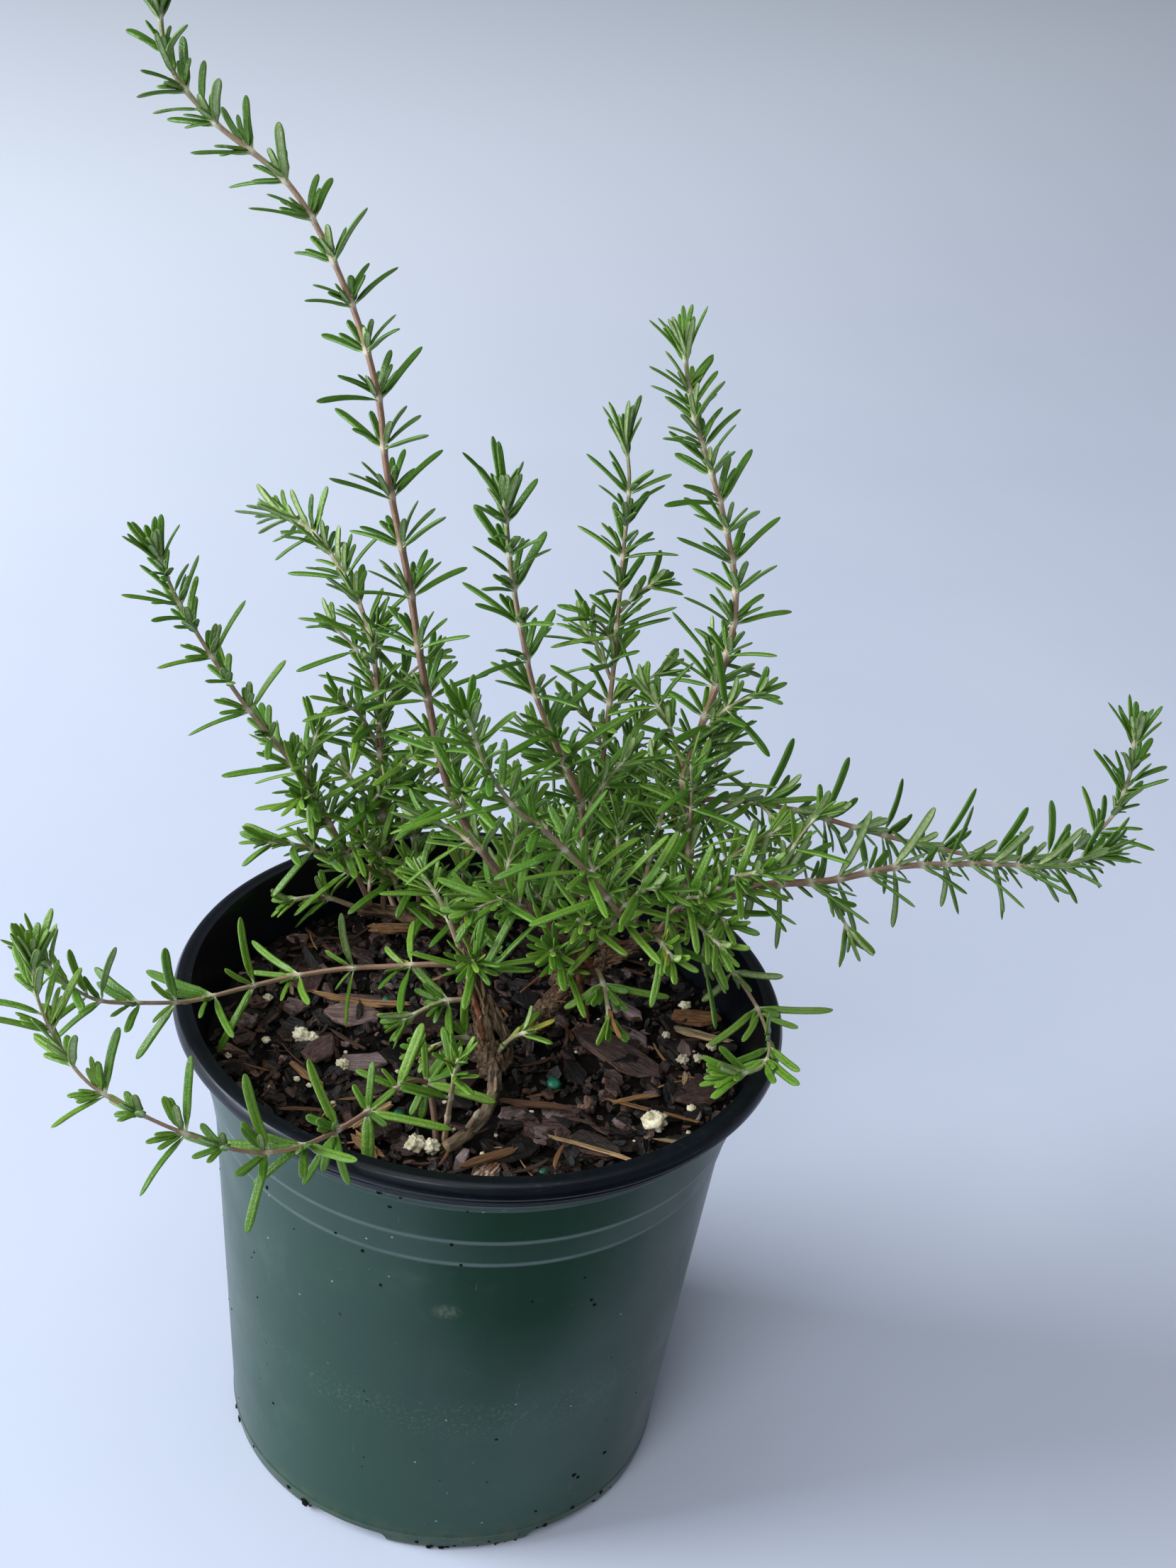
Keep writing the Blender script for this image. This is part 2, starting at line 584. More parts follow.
def scuff_mark(f, x, y, z):
    """A pale slanting blot on the front wall."""
    right, up = f.minus(x, SCUFF[0] * MM), f.minus(z, SCUFF[1] * MM)
    offset = f.join(f.times(f.minus(right, f.times(up, 0.5)), 0.85), 0.0,
                    f.times(f.plus(up, f.times(right, 0.2)), 1.15))
    blot = f.between(f.length(offset), 1.0 * MM, 4.4 * MM, 0.6, 0.0)
    front = f.between(y, -20 * MM, -10 * MM, 1.0, 0.0)
    return f.times(blot, front, f.between(f.noise(950.0, 5.0, 0.75), 0.36, 0.66))


def pot_black_finish():
    """Black moulded plastic of the lip and the inside, with a little dust."""
    f = Finish("pot_black")
    dust = f.between(f.noise(60.0, 6.0, 0.7), 0.5, 0.8, 0.0, 0.14)
    colour = f.blend(dust, srgb(8, 12, 20), srgb(48, 60, 80))
    streaks = f.noise(1.0, 3.0, 0.6, vector=f.stretch((160.0, 160.0, 1600.0)))
    colour = f.blend(f.between(streaks, 0.62, 0.78, 0.0, 0.16), colour, srgb(90, 98, 110))
    return f.set(Base_Color=colour, Roughness=f.between(f.noise(80.0, 4.0), 0.3, 0.7, 0.28, 0.4),
                 Specular_IOR_Level=0.34, Specular_Tint=COOL_SHEEN,
                 Normal=f.bump(f.noise(700.0, 3.0), 0.03, 0.4))


def soil_finish():
    """Fine dark crumb under the chips."""
    f = Finish("soil_crumb")
    crumb = f.noise(480.0, 6.0, 0.7)
    colour = f.ramp(crumb, (0.3, srgb(4, 3, 3)), (0.55, srgb(16, 11, 10)), (0.8, srgb(46, 34, 28)))
    return f.set(Base_Color=colour, Roughness=0.95, Specular_IOR_Level=0.2, Normal=f.bump(crumb, 1.2))


def chip_finish():
    """Bark chips: purplish brown to black, with fine grain along each chip."""
    f = Finish("bark_chip")
    tone = f.value("tone")
    strands = f.noise(1.0, 5.0, 0.65, vector=f.join(f.value("grain"), f.value("run"), f.times(tone, 30.0)))
    colour = f.ramp(tone, (0.0, srgb(3, 2, 3)), (0.3, srgb(11, 8, 9)), (0.52, srgb(46, 33, 31)),
                    (0.72, srgb(98, 76, 74)), (0.88, srgb(142, 124, 126)), (1.0, srgb(150, 104, 66)))
    colour = f.blend(f.between(strands, 0.35, 0.65, 0.65, 0.0), colour, srgb(7, 4, 5))
    lit = f.between(tone, 0.12, 0.5, 0.15, 1.0)
    worn = f.times(lit, f.between(f.noise(700.0, 5.0, 0.7), 0.52, 0.75, 0.0, 0.45))
    colour = f.blend(worn, colour, srgb(136, 106, 92))
    broken = f.times(f.between(f.value("edge"), 0.3, 1.0),
                     f.between(f.noise(240.0, 4.0), 0.42, 0.62, 0.0, 0.5), lit)
    colour = f.blend(broken, colour, srgb(116, 78, 58))
    bleached = f.times(f.between(tone, 1.2, 1.3), f.between(strands, 0.5, 0.56, 0.0, 0.9))
    colour = f.blend(bleached, colour, srgb(196, 192, 188))
    relief = f.bump(f.noise(1300.0, 4.0, 0.7), 0.12, 0.7, f.bump(strands, 0.7))
    return f.set(Base_Color=colour, Roughness=0.46, Specular_IOR_Level=0.46, Normal=relief)


def sliver_finish():
    """Splinters and small twigs, cream to orange-brown, grained along their length."""
    f = Finish("wood_sliver")
    tone = f.value("tone")
    grain = f.join(f.times(f.value("run"), 0.12), f.value("grain"), f.times(tone, 30.0))
    strands = f.noise(1.0, 4.0, 0.6, vector=grain)
    colour = f.ramp(tone, (0.0, srgb(50, 34, 26)), (0.35, srgb(92, 62, 42)), (0.6, srgb(138, 96, 58)),
                    (0.8, srgb(184, 144, 96)), (1.0, srgb(204, 184, 148)))
    colour = f.blend(f.between(strands, 0.34, 0.62, 0.8, 0.0), colour, srgb(46, 28, 18))
    colour = f.blend(f.between(f.noise(500.0, 4.0, 0.7), 0.56, 0.7, 0.0, 0.5), colour, srgb(58, 40, 30))
    return f.set(Base_Color=colour, Roughness=0.82, Normal=f.bump(strands, 0.5))


def perlite_finish():
    """Chalky white lumps with pores."""
    f = Finish("perlite")
    pores = f.cells(900.0)
    colour = f.ramp(f.noise(300.0, 4.0), (0.3, srgb(178, 170, 138)), (0.6, srgb(226, 221, 196)))
    colour = f.blend(f.between(pores, 0.1, 0.35, 0.45, 0.0), colour, srgb(126, 114, 88))
    return f.set(Base_Color=colour, Roughness=0.92, Normal=f.bump(pores, 0.4, 0.8))


def prill_finish():
    """Coated fertiliser beads: glossy blue-green."""
    f = Finish("prill")
    patch = f.noise(700.0, 3.0)
    colour = f.ramp(patch, (0.3, srgb(6, 66, 48)), (0.7, srgb(16, 112, 84)))
    return f.set(Base_Color=colour, Roughness=f.between(patch, 0.3, 0.7, 0.35, 0.55),
                 Normal=f.bump(patch, 0.15, 0.6))


# ---- pot ------------------------------------------------------------------------------------

POT_SEGMENTS = 192
CORNER_STEPS = 3
LIP_TOP = POT["height"]
BAND_STEP = 0.65
BAND_CHAMFER = 1.4
# The foot stands a little wider, and the arches a little higher, than in the CAD model.
FOOT_RADIUS = 62.2
ARCH_HEIGHT = 3.6
# A fine ridge low on the wall.
RIDGE_HEIGHT = 5.8
# How far the drain holes' middles lie inside the foot's edge, and the sides of each hole.
HOLE_INSET = 7
HOLE_SIDES = 24
# Edges of the pot that turn by more than this, in degrees, are drawn sharp.
SHARP_ANGLE = 50
# A pale scuff on the front wall: x and z of its middle. Height of the band that is rubbed pale.
SCUFF = (2.0, 97.3)
RUBBED_HEIGHT = 55


def round_corners(outline, radius):
    """The outline with each inner corner replaced by a short arc-like curve."""
    points = np.array(outline, float)
    rounded = [points[0]]
    for before, corner, after in zip(points, points[1:], points[2:]):
        reach = min(radius, 0.45 * np.linalg.norm(before - corner), 0.45 * np.linalg.norm(after - corner))
        start, end = corner + unit(before - corner) * reach, corner + unit(after - corner) * reach
        for t in np.linspace(0, 1, CORNER_STEPS + 1):
            rounded.append((1 - t) ** 2 * start + 2 * t * (1 - t) * corner + t * t * end)
    return np.array([*rounded, points[-1]])


def pot_outside():
    """Outer outline from the middle of the underside up and over the lip to the mouth."""
    low, high = POT["lower_band_height"], POT["upper_band_height"]
    low_radius, high_radius = POT["lower_band_radius"], POT["upper_band_radius"]
    lip, foot = POT["lip_foot"], POT["lip_foot_radius"]
    rim = POT["rim_radius"]
    ridge = mix(POT["base_radius"], low_radius - BAND_STEP, RIDGE_HEIGHT / low)
    wall = [(0, 0), (FOOT_RADIUS, 0), (POT["base_radius"], 1.6), (ridge + 0.1, RIDGE_HEIGHT - 0.7),
            (ridge + 0.3, RIDGE_HEIGHT), (ridge + 0.05, RIDGE_HEIGHT + 0.7),
            (low_radius - BAND_STEP, low - BAND_CHAMFER), (low_radius, low),
            (high_radius - BAND_STEP, high - BAND_CHAMFER), (high_radius, high),
            (high_radius + 0.13 * (lip - 5 - high), lip - 5), (foot - 0.5, lip - 1.4), (foot, lip)]
    grooves = []
    for step in range(3):
        r, z = foot + 1.2 + 0.85 * step, lip + 0.2 + 1.2 * step
        grooves += [(r, z), (r + 0.25, z + 0.8), (r - 0.1, z + 1.0)]
    roll = [(rim - 1.2, lip + 4.2), (rim - 0.1, lip + 5.4), (rim, lip + 7.2), (rim - 0.9, LIP_TOP - 0.5),
            (rim - 2.4, LIP_TOP), (rim - 3.6, LIP_TOP - 0.25), (POT["mouth_radius"] + 0.7, LIP_TOP - 0.2),
            (0, LIP_TOP - 0.2)]
    return round_corners(wall + grooves + roll, 0.5)


def pot_inside(inset):
    """Inner outline from the mouth down to the floor."""
    shift = POT["wall"] + inset
    return [
        (POT["mouth_radius"] - inset, POT["height"] - 1.2),
        (POT["upper_band_radius"] - shift + 1, POT["upper_band_height"] + 4),
        (POT["lower_band_radius"] - shift - 0.4, POT["lower_band_height"] - 1),
        (POT["base_radius"] - shift - 0.2, POT["corner_height"] + POT["wall"] + inset),
        (POT["foot_radius"] - shift, POT["wall"] + inset),
    ]


def lathe(name, outline):
    """A closed turned solid. The outline starts and ends on the axis."""
    outline = np.array(outline, float)
    angles = angles_round(POT_SEGMENTS)
    inner = outline[1:-1]
    rings = np.stack([inner[:, :1] * np.cos(angles), inner[:, :1] * np.sin(angles),
                      np.repeat(inner[:, 1:], POT_SEGMENTS, 1)], 2)
    points, quads, triangles = loft(rings)
    points[-2], points[-1] = (0, 0, outline[0, 1]), (0, 0, outline[-1, 1])
    shells = Shells()
    shells.add(points, quads, triangles)
    return shells.make(name, [])


def cut(piece, tool):
    """Takes tool away from piece, and removes tool."""
    modifier = piece.modifiers.new("cut", "BOOLEAN")
    modifier.operation = "DIFFERENCE"
    modifier.solver = "EXACT"
    modifier.object = tool
    graph = bpy.context.evaluated_depsgraph_get()
    made = bpy.data.meshes.new_from_object(piece.evaluated_get(graph))
    piece.modifiers.remove(modifier)
    piece.data = made
    bpy.data.objects.remove(tool)


def wear(piece, *finishes):
    """Gives a cut piece its finishes in place of those that the cut left."""
    piece.data.materials.clear()
    for finish in finishes:
        piece.data.materials.append(finish)


def drain_ways():
    """The direction of each arch, outwards."""
    for i in range(DRAIN["count"]):
        angle = math.radians(DRAIN["first_angle"]) + FULL_TURN * i / DRAIN["count"]
        yield np.array([math.cos(angle), math.sin(angle), 0])


def drain_channels(name, grow):
    """Low arches under the wall, with rounded shoulders."""
    half_width = 0.5 * DRAIN["arch_width"] + grow
    height = ARCH_HEIGHT + grow
    shoulder = 2.2
    corner = [(half_width - shoulder + shoulder * math.sin(a), height - shoulder + shoulder * math.cos(a))
              for a in np.linspace(0, math.pi / 2, 5)]
    section = corner + [(half_width, -4), (-half_width, -4)] + [(-x, z) for x, z in reversed(corner)]
    reach = (DRAIN["inner_radius"] - grow, POT["base_radius"] + 6 + grow)
    shells = Shells()
    for out in drain_ways():
        side = np.array([-out[1], out[0], 0])
        rings = np.array([[out * r + side * -x + np.array([0, 0, z]) for x, z in section] for r in reach])
        shells.add(*loft(rings))
    return shells.make(name, [])


def drain_holes():
    shells = Shells()
    for out in drain_ways():
        centre = (POT["foot_radius"] - HOLE_INSET) * out[:2]
        edge = [centre + on_circle(DRAIN["hole_radius"], a) for a in angles_round(HOLE_SIDES)]
        rings = np.array([[(*point, z) for point in edge] for z in (-3, 9)])
        shells.add(*loft(rings))
    return shells.make("drain_hole_cutter", [])


def make_pot(green, black):
    pot = lathe("nursery_pot", pot_outside())
    above = [(POT["mouth_radius"] + 1, LIP_TOP + 2), (0, LIP_TOP + 2)]
    space = lathe("pot_space", round_corners([(0, POT["wall"]), *reversed(pot_inside(0)), *above], 0.4))
    cut(space, drain_channels("inner_channels", POT["wall"]))
    cut(pot, drain_channels("outer_channels", 0.0))
    cut(pot, space)
    cut(pot, drain_holes())
    wear(pot, green, black)
    outer = np.array(pot_outside())
    wall_side = outer[(outer[:, 0] > FOOT_RADIUS) & (outer[:, 1] < POT["lip_foot"])]
    for face in pot.data.polygons:
        centre = face.center / MM
        skin = np.interp(centre.z, wall_side[:, 1], wall_side[:, 0]) - 0.45
        above_lip = centre.z > POT["lip_foot"] + 0.1
        inside = math.hypot(centre.x, centre.y) < skin and centre.z > 0.6 and face.normal.z > -0.5
        face.use_smooth = True
        face.material_index = 1 if above_lip or inside else 0
    pot.data.set_sharp_from_angle(angle=math.radians(SHARP_ANGLE))
    return pot


# Crumbs of dirt that the photograph shows on the wall: azimuth in degrees, height, size.
SHOWN_CRUMBS = [
    (-102.7, 139.9, 1.3), (-98.6, 140.0, 1.0), (-101.2, 133.5, 0.9), (-107.2, 113.0, 1.3),
    (-113.3, 116.3, 0.9), (-88.6, 123.1, 1.2), (-86.3, 115.2, 1.5), (-102.9, 102.6, 1.1),
    (-132.1, 117.9, 1.3), (-55.8, 96.1, 1.0), (-54.7, 93.7, 0.9), (-78.2, 141.2, 0.8), (-73.7, 47.0, 0.8),
    (-122.4, 2.6, 3.0), (-121.0, 3.6, 1.8), (-87.0, 0.8, 2.6), (-84.0, 0.8, 2.2), (-82.5, 1.2, 1.4),
    (-42.0, 3.0, 2.2), (-37.5, 5.0, 1.7), (-48.0, 6.5, 1.2), (-60.0, 12.0, 1.1), (-50.0, 22.0, 1.3),
    (-48.5, 20.0, 1.2), (-40.0, 24.0, 1.2), (-164.0, 2.4, 2.6), (-158.0, 1.6, 2.0),
]
# Other crumbs: how many anywhere and how many low, and the low ones' azimuths.
CRUMB_COUNTS = (60, 80)
CRUMB_AZIMUTHS = [-155.0, -60.0, 60.0, 150.0]


def wall_radius_at(z):
    """Radius of the pot's outer wall at a height, below the lip."""
    outline = pot_outside()
    wall = outline[(outline[:, 0] > 1) & (outline[:, 1] <= POT["lip_foot"])]
    return float(np.interp(z, wall[:, 1], wall[:, 0]))


def over_arch(azimuth):
    """Whether a direction, in degrees, points to a drain arch."""
    step = 360 / DRAIN["count"]
    apart = (azimuth - DRAIN["first_angle"] + 0.5 * step) % step - 0.5 * step
    return abs(apart) < math.degrees(0.5 * DRAIN["arch_width"] / FOOT_RADIUS)


def make_crumbs(finish):
    """Specks of soil stuck to the wall: those shown, some anywhere, and more low in four places."""
    rng = np.random.default_rng(SCENE_SEED + 9)
    spots = list(SHOWN_CRUMBS)
    spots += [(rng.uniform(0, 360), rng.uniform(8, 140), rng.uniform(0.3, 0.8))
              for _ in range(CRUMB_COUNTS[0])]
    spots += [(rng.choice(CRUMB_AZIMUTHS) + rng.normal(0, 14), rng.uniform(0.5, 4.5),
               0.5 + 1.6 * rng.uniform() ** 2) for _ in range(CRUMB_COUNTS[1])]
    spots = [spot for spot in spots if spot[1] > ARCH_HEIGHT + 0.4 or not over_arch(spot[0])]
    shells = Shells()
    for azimuth, z, size in spots:
        azimuth = math.radians(azimuth)
        radius = wall_radius_at(z) + 0.05 * size
        points, quads, triangles = lump(rng, 0.8 * size, 0.4, 0.7, 7)
        points = points @ np.array(Matrix.Rotation(math.pi / 2, 3, "Y")).T
        points[:, 1] *= rng.uniform(0.7, 1.5)
        points = turned(points, 0, 0, azimuth, (*on_circle(radius, azimuth), z))
        points[:, 2] += max(0.0, -points[:, 2].min())
        shells.add(points, quads, triangles)
    return shells.make("dirt_crumbs", [finish])


# ---- soil and what lies on it ---------------------------------------------------------------

SOIL_RINGS = 44
SOIL_SEGMENTS = 160


def inner_face_at(z):
    (mouth_radius, mouth_z), (band_radius, band_z) = pot_inside(0)[:2]
    return mix(band_radius, mouth_radius, (z - band_z) / (mouth_z - band_z))


def soil_height(x, y):
    """Height of the soil's surface: gentle swells, as in the CAD model."""
    swell = math.sin(0.19 * x + 1) * math.cos(0.16 * y) + 0.5 * math.sin(0.41 * y - 0.33 * x)
    return SOIL["level"] + SOIL["swell"] * swell


def make_soil(finish):
    wall_radius = inner_face_at(SOIL["level"]) - GAP
    angles = angles_round(SOIL_SEGMENTS)
    outline = [p for p in reversed(pot_inside(GAP)) if p[1] < SOIL["level"] - 3]
    rings = [[(*on_circle(r, a), z) for a in angles] for r, z in outline]
    for share in np.linspace(1, 0.012, SOIL_RINGS):
        ring = []
        for a in angles:
            x, y = on_circle(wall_radius * share, a)
            crumb = noise.fractal(Vector((x * 0.35, y * 0.35, 3.0)), 0.9, 2.1, 4)
            ring.append((x, y, soil_height(x, y) - 0.7 + 0.75 * crumb))
        rings.append(ring)
    shells = Shells()
    shells.add(*loft(np.array(rings)))
    soil = shells.make("soil_crumb", [])
    cut(soil, drain_channels("soil_channels", POT["wall"] + GAP))
    wear(soil, finish)
    return soil


def chip_shell(rng, length, width, thickness, corners):
    """An irregular flat flake of bark with broken edges, in its own frame."""
    angles = np.sort((np.arange(corners) + rng.uniform(-0.32, 0.32, corners)) / corners) * FULL_TURN
    reach = rng.uniform(0.78, 1.12, corners)
    plan = np.stack([0.5 * length * reach * np.cos(angles), 0.5 * width * reach * np.sin(angles)], 1)
    plan[:, 1] += 0.18 * plan[:, 0] * rng.uniform(-1, 1)
    rings = []
    for height, scale in ((-0.5, 0.82), (-0.15, 1.0), (0.28, 0.99), (0.5, 0.9)):
        jitter = rng.normal(0, 0.035 * width, (corners, 2))
        lift = thickness * (height + 0.16 * rng.normal(0, 1, corners) * (height > 0.3))
        rings.append(np.column_stack([plan * scale + jitter, lift]))
    rings = np.array(rings)
    arch = rng.uniform(-0.03, 0.05) / max(width, 3)
    rings[..., 2] -= arch * rings[..., 1] ** 2
    points, quads, triangles = loft(rings)
    points[-1, 2] += thickness * rng.uniform(-0.1, 0.25)
    return points, quads, triangles, by_ring([0.4, 1.0, 1.0, 0.35], corners)


def turned(points, tilt_x, tilt_y, heading, place):
    matrix = (Matrix.Rotation(heading, 3, "Z") @ Matrix.Rotation(tilt_y, 3, "Y")
              @ Matrix.Rotation(tilt_x, 3, "X"))
    return points @ np.array(matrix).T + np.array(place)


def add_chip(shells, rng, place, size, tilt, heading, tone, corners):
    points, quads, triangles, edge = chip_shell(rng, *size, corners)
    grain = points[:, 1] * 1.1 + rng.uniform(0, 90)
    run = points[:, 0] * 0.22 + points[:, 2] * 1.5
    points = turned(points, *tilt, heading, place)
    shells.add(points, quads, triangles, tone=tone, grain=grain, run=run, edge=edge)


def clear_of_crown(x, y, room):
    """Whether a chip lies clear of the limbs that come out of the soil."""
    near = CROWN_POINTS[np.abs(CROWN_POINTS[:, 2] - SOIL["level"] - 1) < 5]
    apart = np.hypot(near[:, 0] - x, near[:, 1] - y) - near[:, 3]
    return apart.min() > room


def cad_chips(shells, rng):
    """The slabs that the CAD model holds, at their places, but for those in the crown's way."""
    seed = CHIPS["seed"]
    for i in range(CHIPS["count"]):
        x, y = on_circle(CHIPS["reach"] * math.sqrt(draw(seed, i, 1)), FULL_TURN * draw(seed, i, 2))
        size = (mix(6, 14, draw(seed, i, 3)), mix(4, 8, draw(seed, i, 4)), CHIPS["thickness"])
        if not clear_of_crown(x, y, 0.3 * size[0]):
            continue
        tilt = (spread(0.25, seed, i, 5), spread(0.18, seed, i, 6))
        place = (x, y, soil_height(x, y) + 0.5 * CHIPS["thickness"] - CHIPS["sunk"] + 0.4)
        size = (size[0] * 1.04, size[1] * 1.04, 2.2)
        add_chip(shells, rng, place, size, tilt, FULL_TURN * draw(seed, i, 7), rng.uniform(0.35, 0.95),
                 CHIP_CORNERS)


# Larger chips that the photograph shows: x, y, length, width, heading in degrees, tone.
SHOWN_CHIPS = [
    (40, 0, 30, 11, -24, 0.62), (-36, 4, 17, 11, 20, 0.9), (-30, -16, 15, 8, 5, 0.86),
    (-42, -14, 13, 8, 62, 0.7), (22, -35, 13, 12, 15, 0.68), (-33, 12, 20, 7, 8, 0.75),
    (62, -12, 15, 12, 30, 0.6), (-12, 6, 20, 8, 10, 0.55), (16, -46, 15, 8, 40, 0.3),
    (36, -42, 15, 9, -30, 0.45), (-26, -27, 13, 7, 15, 0.55), (8, -24, 12, 8, 70, 0.2),
    (61, 22, 15, 8, 0, 1.0), (-50, 18, 13, 9, 80, 0.62), (-20, -44, 12, 7, 25, 0.5),
    (8, -56, 13, 8, 70, 1.4),
]
SHOWN_THICKNESS = 1.9
# Other chips: sizes from and to, how many, how high they lie, and how steeply they tilt.
CHIP_SIZES = ((7.0, 13.0, 130, 1.1, 0.24), (4.0, 8.0, 380, 1.2, 0.4), (1.4, 4.2, 1700, 1.0, 0.55))
# Tones from and to, and the share of the chips that has them.
CHIP_TONES = ((0, 0.3, 0.52), (0.2, 0.6, 0.34), (0.6, 0.95, 0.14))
CHIP_CORNERS = 8


def make_chips(finish):
    rng = np.random.default_rng(SCENE_SEED)
    shells = Shells()
    cad_chips(shells, rng)
    for x, y, length, width, heading, tone in SHOWN_CHIPS:
        place = (x, y, soil_height(x, y) + SHOWN_THICKNESS)
        tilt = (rng.uniform(-0.1, 0.1), rng.uniform(-0.08, 0.08))
        add_chip(shells, rng, place, (length, width, SHOWN_THICKNESS), tilt, math.radians(heading), tone,
                 CHIP_CORNERS)
    for low, high, count, rise, steep in CHIP_SIZES:
        for _ in range(count):
            length = rng.uniform(low, high)
            width = length * rng.uniform(0.38, 0.75)
            x, y = scattered(rng, inner_face_at(SOIL["level"]) - 0.55 * length)
            if not clear_of_crown(x, y, 0.3 * length):
                continue
            thickness = rng.uniform(1.0, 2.6) * min(1, length / 6)
            tilt = rng.normal(0, steep, 2)
            place = (x, y, soil_height(x, y) + rise * rng.uniform(-0.3, 1.6))
            tone = rng.choice([rng.uniform(low_tone, high_tone) for low_tone, high_tone, _ in CHIP_TONES],
                              p=[share for _, _, share in CHIP_TONES])
            add_chip(shells, rng, place, (length, width, thickness), tilt, rng.uniform(0, FULL_TURN), tone,
                     int(rng.integers(6, 9)))
    return shells.make("bark_chips", [finish], smooth=False)


# Splinters that the photograph shows: x, y, length, width, heading in degrees, tone.
SHOWN_SLIVERS = [
    (-34, 9, 26, 3.2, 2, 0.75), (35, -44, 24, 1.6, -14, 0.85), (50, -24, 26, 1.4, -8, 0.6),
    (18, -28, 20, 2.6, 2, 0.4), (-24, -40, 14, 3.0, 55, 0.85), (8, -52, 18, 3.0, 38, 0.5),
    (-44, -26, 12, 2.2, -42, 0.7), (62, 14, 18, 3.0, -16, 0.95), (-28, 50, 16, 4.0, 20, 0.7),
    (45, -20, 13, 1.8, 28, 0.7), (26, -48, 10, 1.3, 80, 0.6), (-24, -52, 10, 4.0, -48, 0.8),
]
SLIVER_COUNT = 150
SLIVER_SIDES = 8


def add_sliver(shells, rng, place, length, width, heading, tilt, tone):
    """A split of wood: a long flat prism with ragged ends, slightly bent."""
    t = np.array([-0.5, -0.47, -0.36, -0.18, 0.0, 0.18, 0.36, 0.47, 0.5])
    angles = angles_round(SLIVER_SIDES)
    taper = np.interp(t, [-0.5, -0.3, 0.3, 0.5], [rng.uniform(0.15, 0.8), 1, 1, rng.uniform(0.15, 0.8)])
    jagged = taper[:, None] * (1 + rng.normal(0, 0.1, (len(t), SLIVER_SIDES)))
    ragged = np.repeat((t * length)[:, None], SLIVER_SIDES, 1)
    ragged += width * (2 * t[:, None]) ** 3 * rng.uniform(-0.6, 0.6, SLIVER_SIDES)
    flat = np.sign(np.cos(angles)) * np.abs(np.cos(angles)) ** 0.6
    rings = np.stack([ragged, 0.5 * width * jagged * flat, 0.22 * width * jagged * np.sin(angles)], 2)
    rings[..., 1] += rng.uniform(-0.07, 0.07) * length * (2 * t[:, None]) ** 2
    rings[..., 2] += rng.uniform(-0.02, 0.05) * length * (2 * t[:, None]) ** 2
    points, quads, triangles = loft(rings)
    grain = points[:, 1] * 3 + rng.uniform(0, 90)
    shells.add(turned(points, 0, tilt, heading, place), quads, triangles, tone=tone, grain=grain,
               run=points[:, 0])


def make_slivers(finish):
    rng = np.random.default_rng(SCENE_SEED + 1)
    shells = Shells()
    for x, y, length, width, heading, tone in SHOWN_SLIVERS:
        place = (x, y, soil_height(x, y) + 3.0)
        add_sliver(shells, rng, place, length, width, math.radians(heading), rng.uniform(-0.06, 0.06), tone)
    for _ in range(SLIVER_COUNT):
        length = rng.uniform(4, 14)
        x, y = scattered(rng, inner_face_at(SOIL["level"]) - 0.55 * length)
        if not clear_of_crown(x, y, 2.0):
            continue
        place = (x, y, soil_height(x, y) + rng.uniform(0.8, 2.6))
        add_sliver(shells, rng, place, length, rng.uniform(0.4, 1.5), rng.uniform(0, FULL_TURN),
                   rng.normal(0, 0.14), 0.95 * rng.uniform(0.0, 1.0) ** 2)
    return shells.make("wood_slivers", [finish], smooth=False)


# Perlite lumps that the photograph shows: x, y, diameter.
SHOWN_PERLITE = [
    (-11, -50, 5.2), (-7, -50, 4.4), (51, -29, 6.2), (-48, -8, 4.6), (-45, -8, 3.8), (-35, -18, 3.8),
    (61, -20, 2.6), (-57, -12, 2.2), (-66, -20, 1.8), (-46, -27, 1.7), (58, 2, 3.2), (62, 3, 2.8),
    (66, 9, 2.8), (53, 12, 2.2), (58, 28, 3.2), (-60, 8, 2.6),
]
# Fertiliser beads that the photograph shows, in the same way. Others lie within LUMP_REACH.
SHOWN_PRILLS = [(23, -17, 4.2), (-17, -37, 3.6), (66, 24, 3.4), (78, 20, 3.0), (-27, 13, 2.6), (-2, 27, 2.6)]
LUMP_REACH = 70
# How far above the soil's surface a lump's middle lies at least, and how much higher for its size: the
# lumps that are shown, and the others.
LUMP_RISE = 1.6
SHOWN_PROUD, OTHER_PROUD = 0.35, 0.2


def lump(rng, diameter, squash, rough, steps):
    """A rounded lump with noise on its radius, in its own frame."""
    polar = np.linspace(0.06, math.pi - 0.06, steps)[::-1]
    around = angles_round(2 * steps)
    offset = rng.uniform(0, 50, 3)
    rings = np.zeros((steps, 2 * steps, 3))
    for i, p in enumerate(polar):
        for k, a in enumerate(around):
            way = Vector((math.sin(p) * math.cos(a), math.sin(p) * math.sin(a), math.cos(p)))
            bulge = 1 + rough * noise.fractal(way * 1.9 + Vector(offset), 0.7, 2.1, 4)
            rings[i, k] = np.array(way) * 0.5 * diameter * bulge
    rings[..., 2] *= squash
    return loft(rings)


def make_lumps(name, shown, count, sizes, squash, rough, seed, finish, steps):
    rng = np.random.default_rng(seed)
    shells = Shells()
    spots = [(*spot, SHOWN_PROUD) for spot in shown]
    for _ in range(count):
        spots.append((*scattered(rng, LUMP_REACH), rng.uniform(*sizes), OTHER_PROUD))
    for x, y, diameter, proud in spots:
        if math.hypot(x, y) + 0.5 * diameter > inner_face_at(SOIL["level"]) - 1:
            continue
        points, quads, triangles = lump(rng, diameter, squash, rough, steps)
        place = (x, y, soil_height(x, y) + LUMP_RISE + proud * diameter * squash)
        shells.add(turned(points, 0, 0, rng.uniform(0, FULL_TURN), place), quads, triangles)
    return shells.make(name, [finish])


# ---- woody crown ----------------------------------------------------------------------------

LIMB_SIDES = 28
LIMB_STEP = 1.3


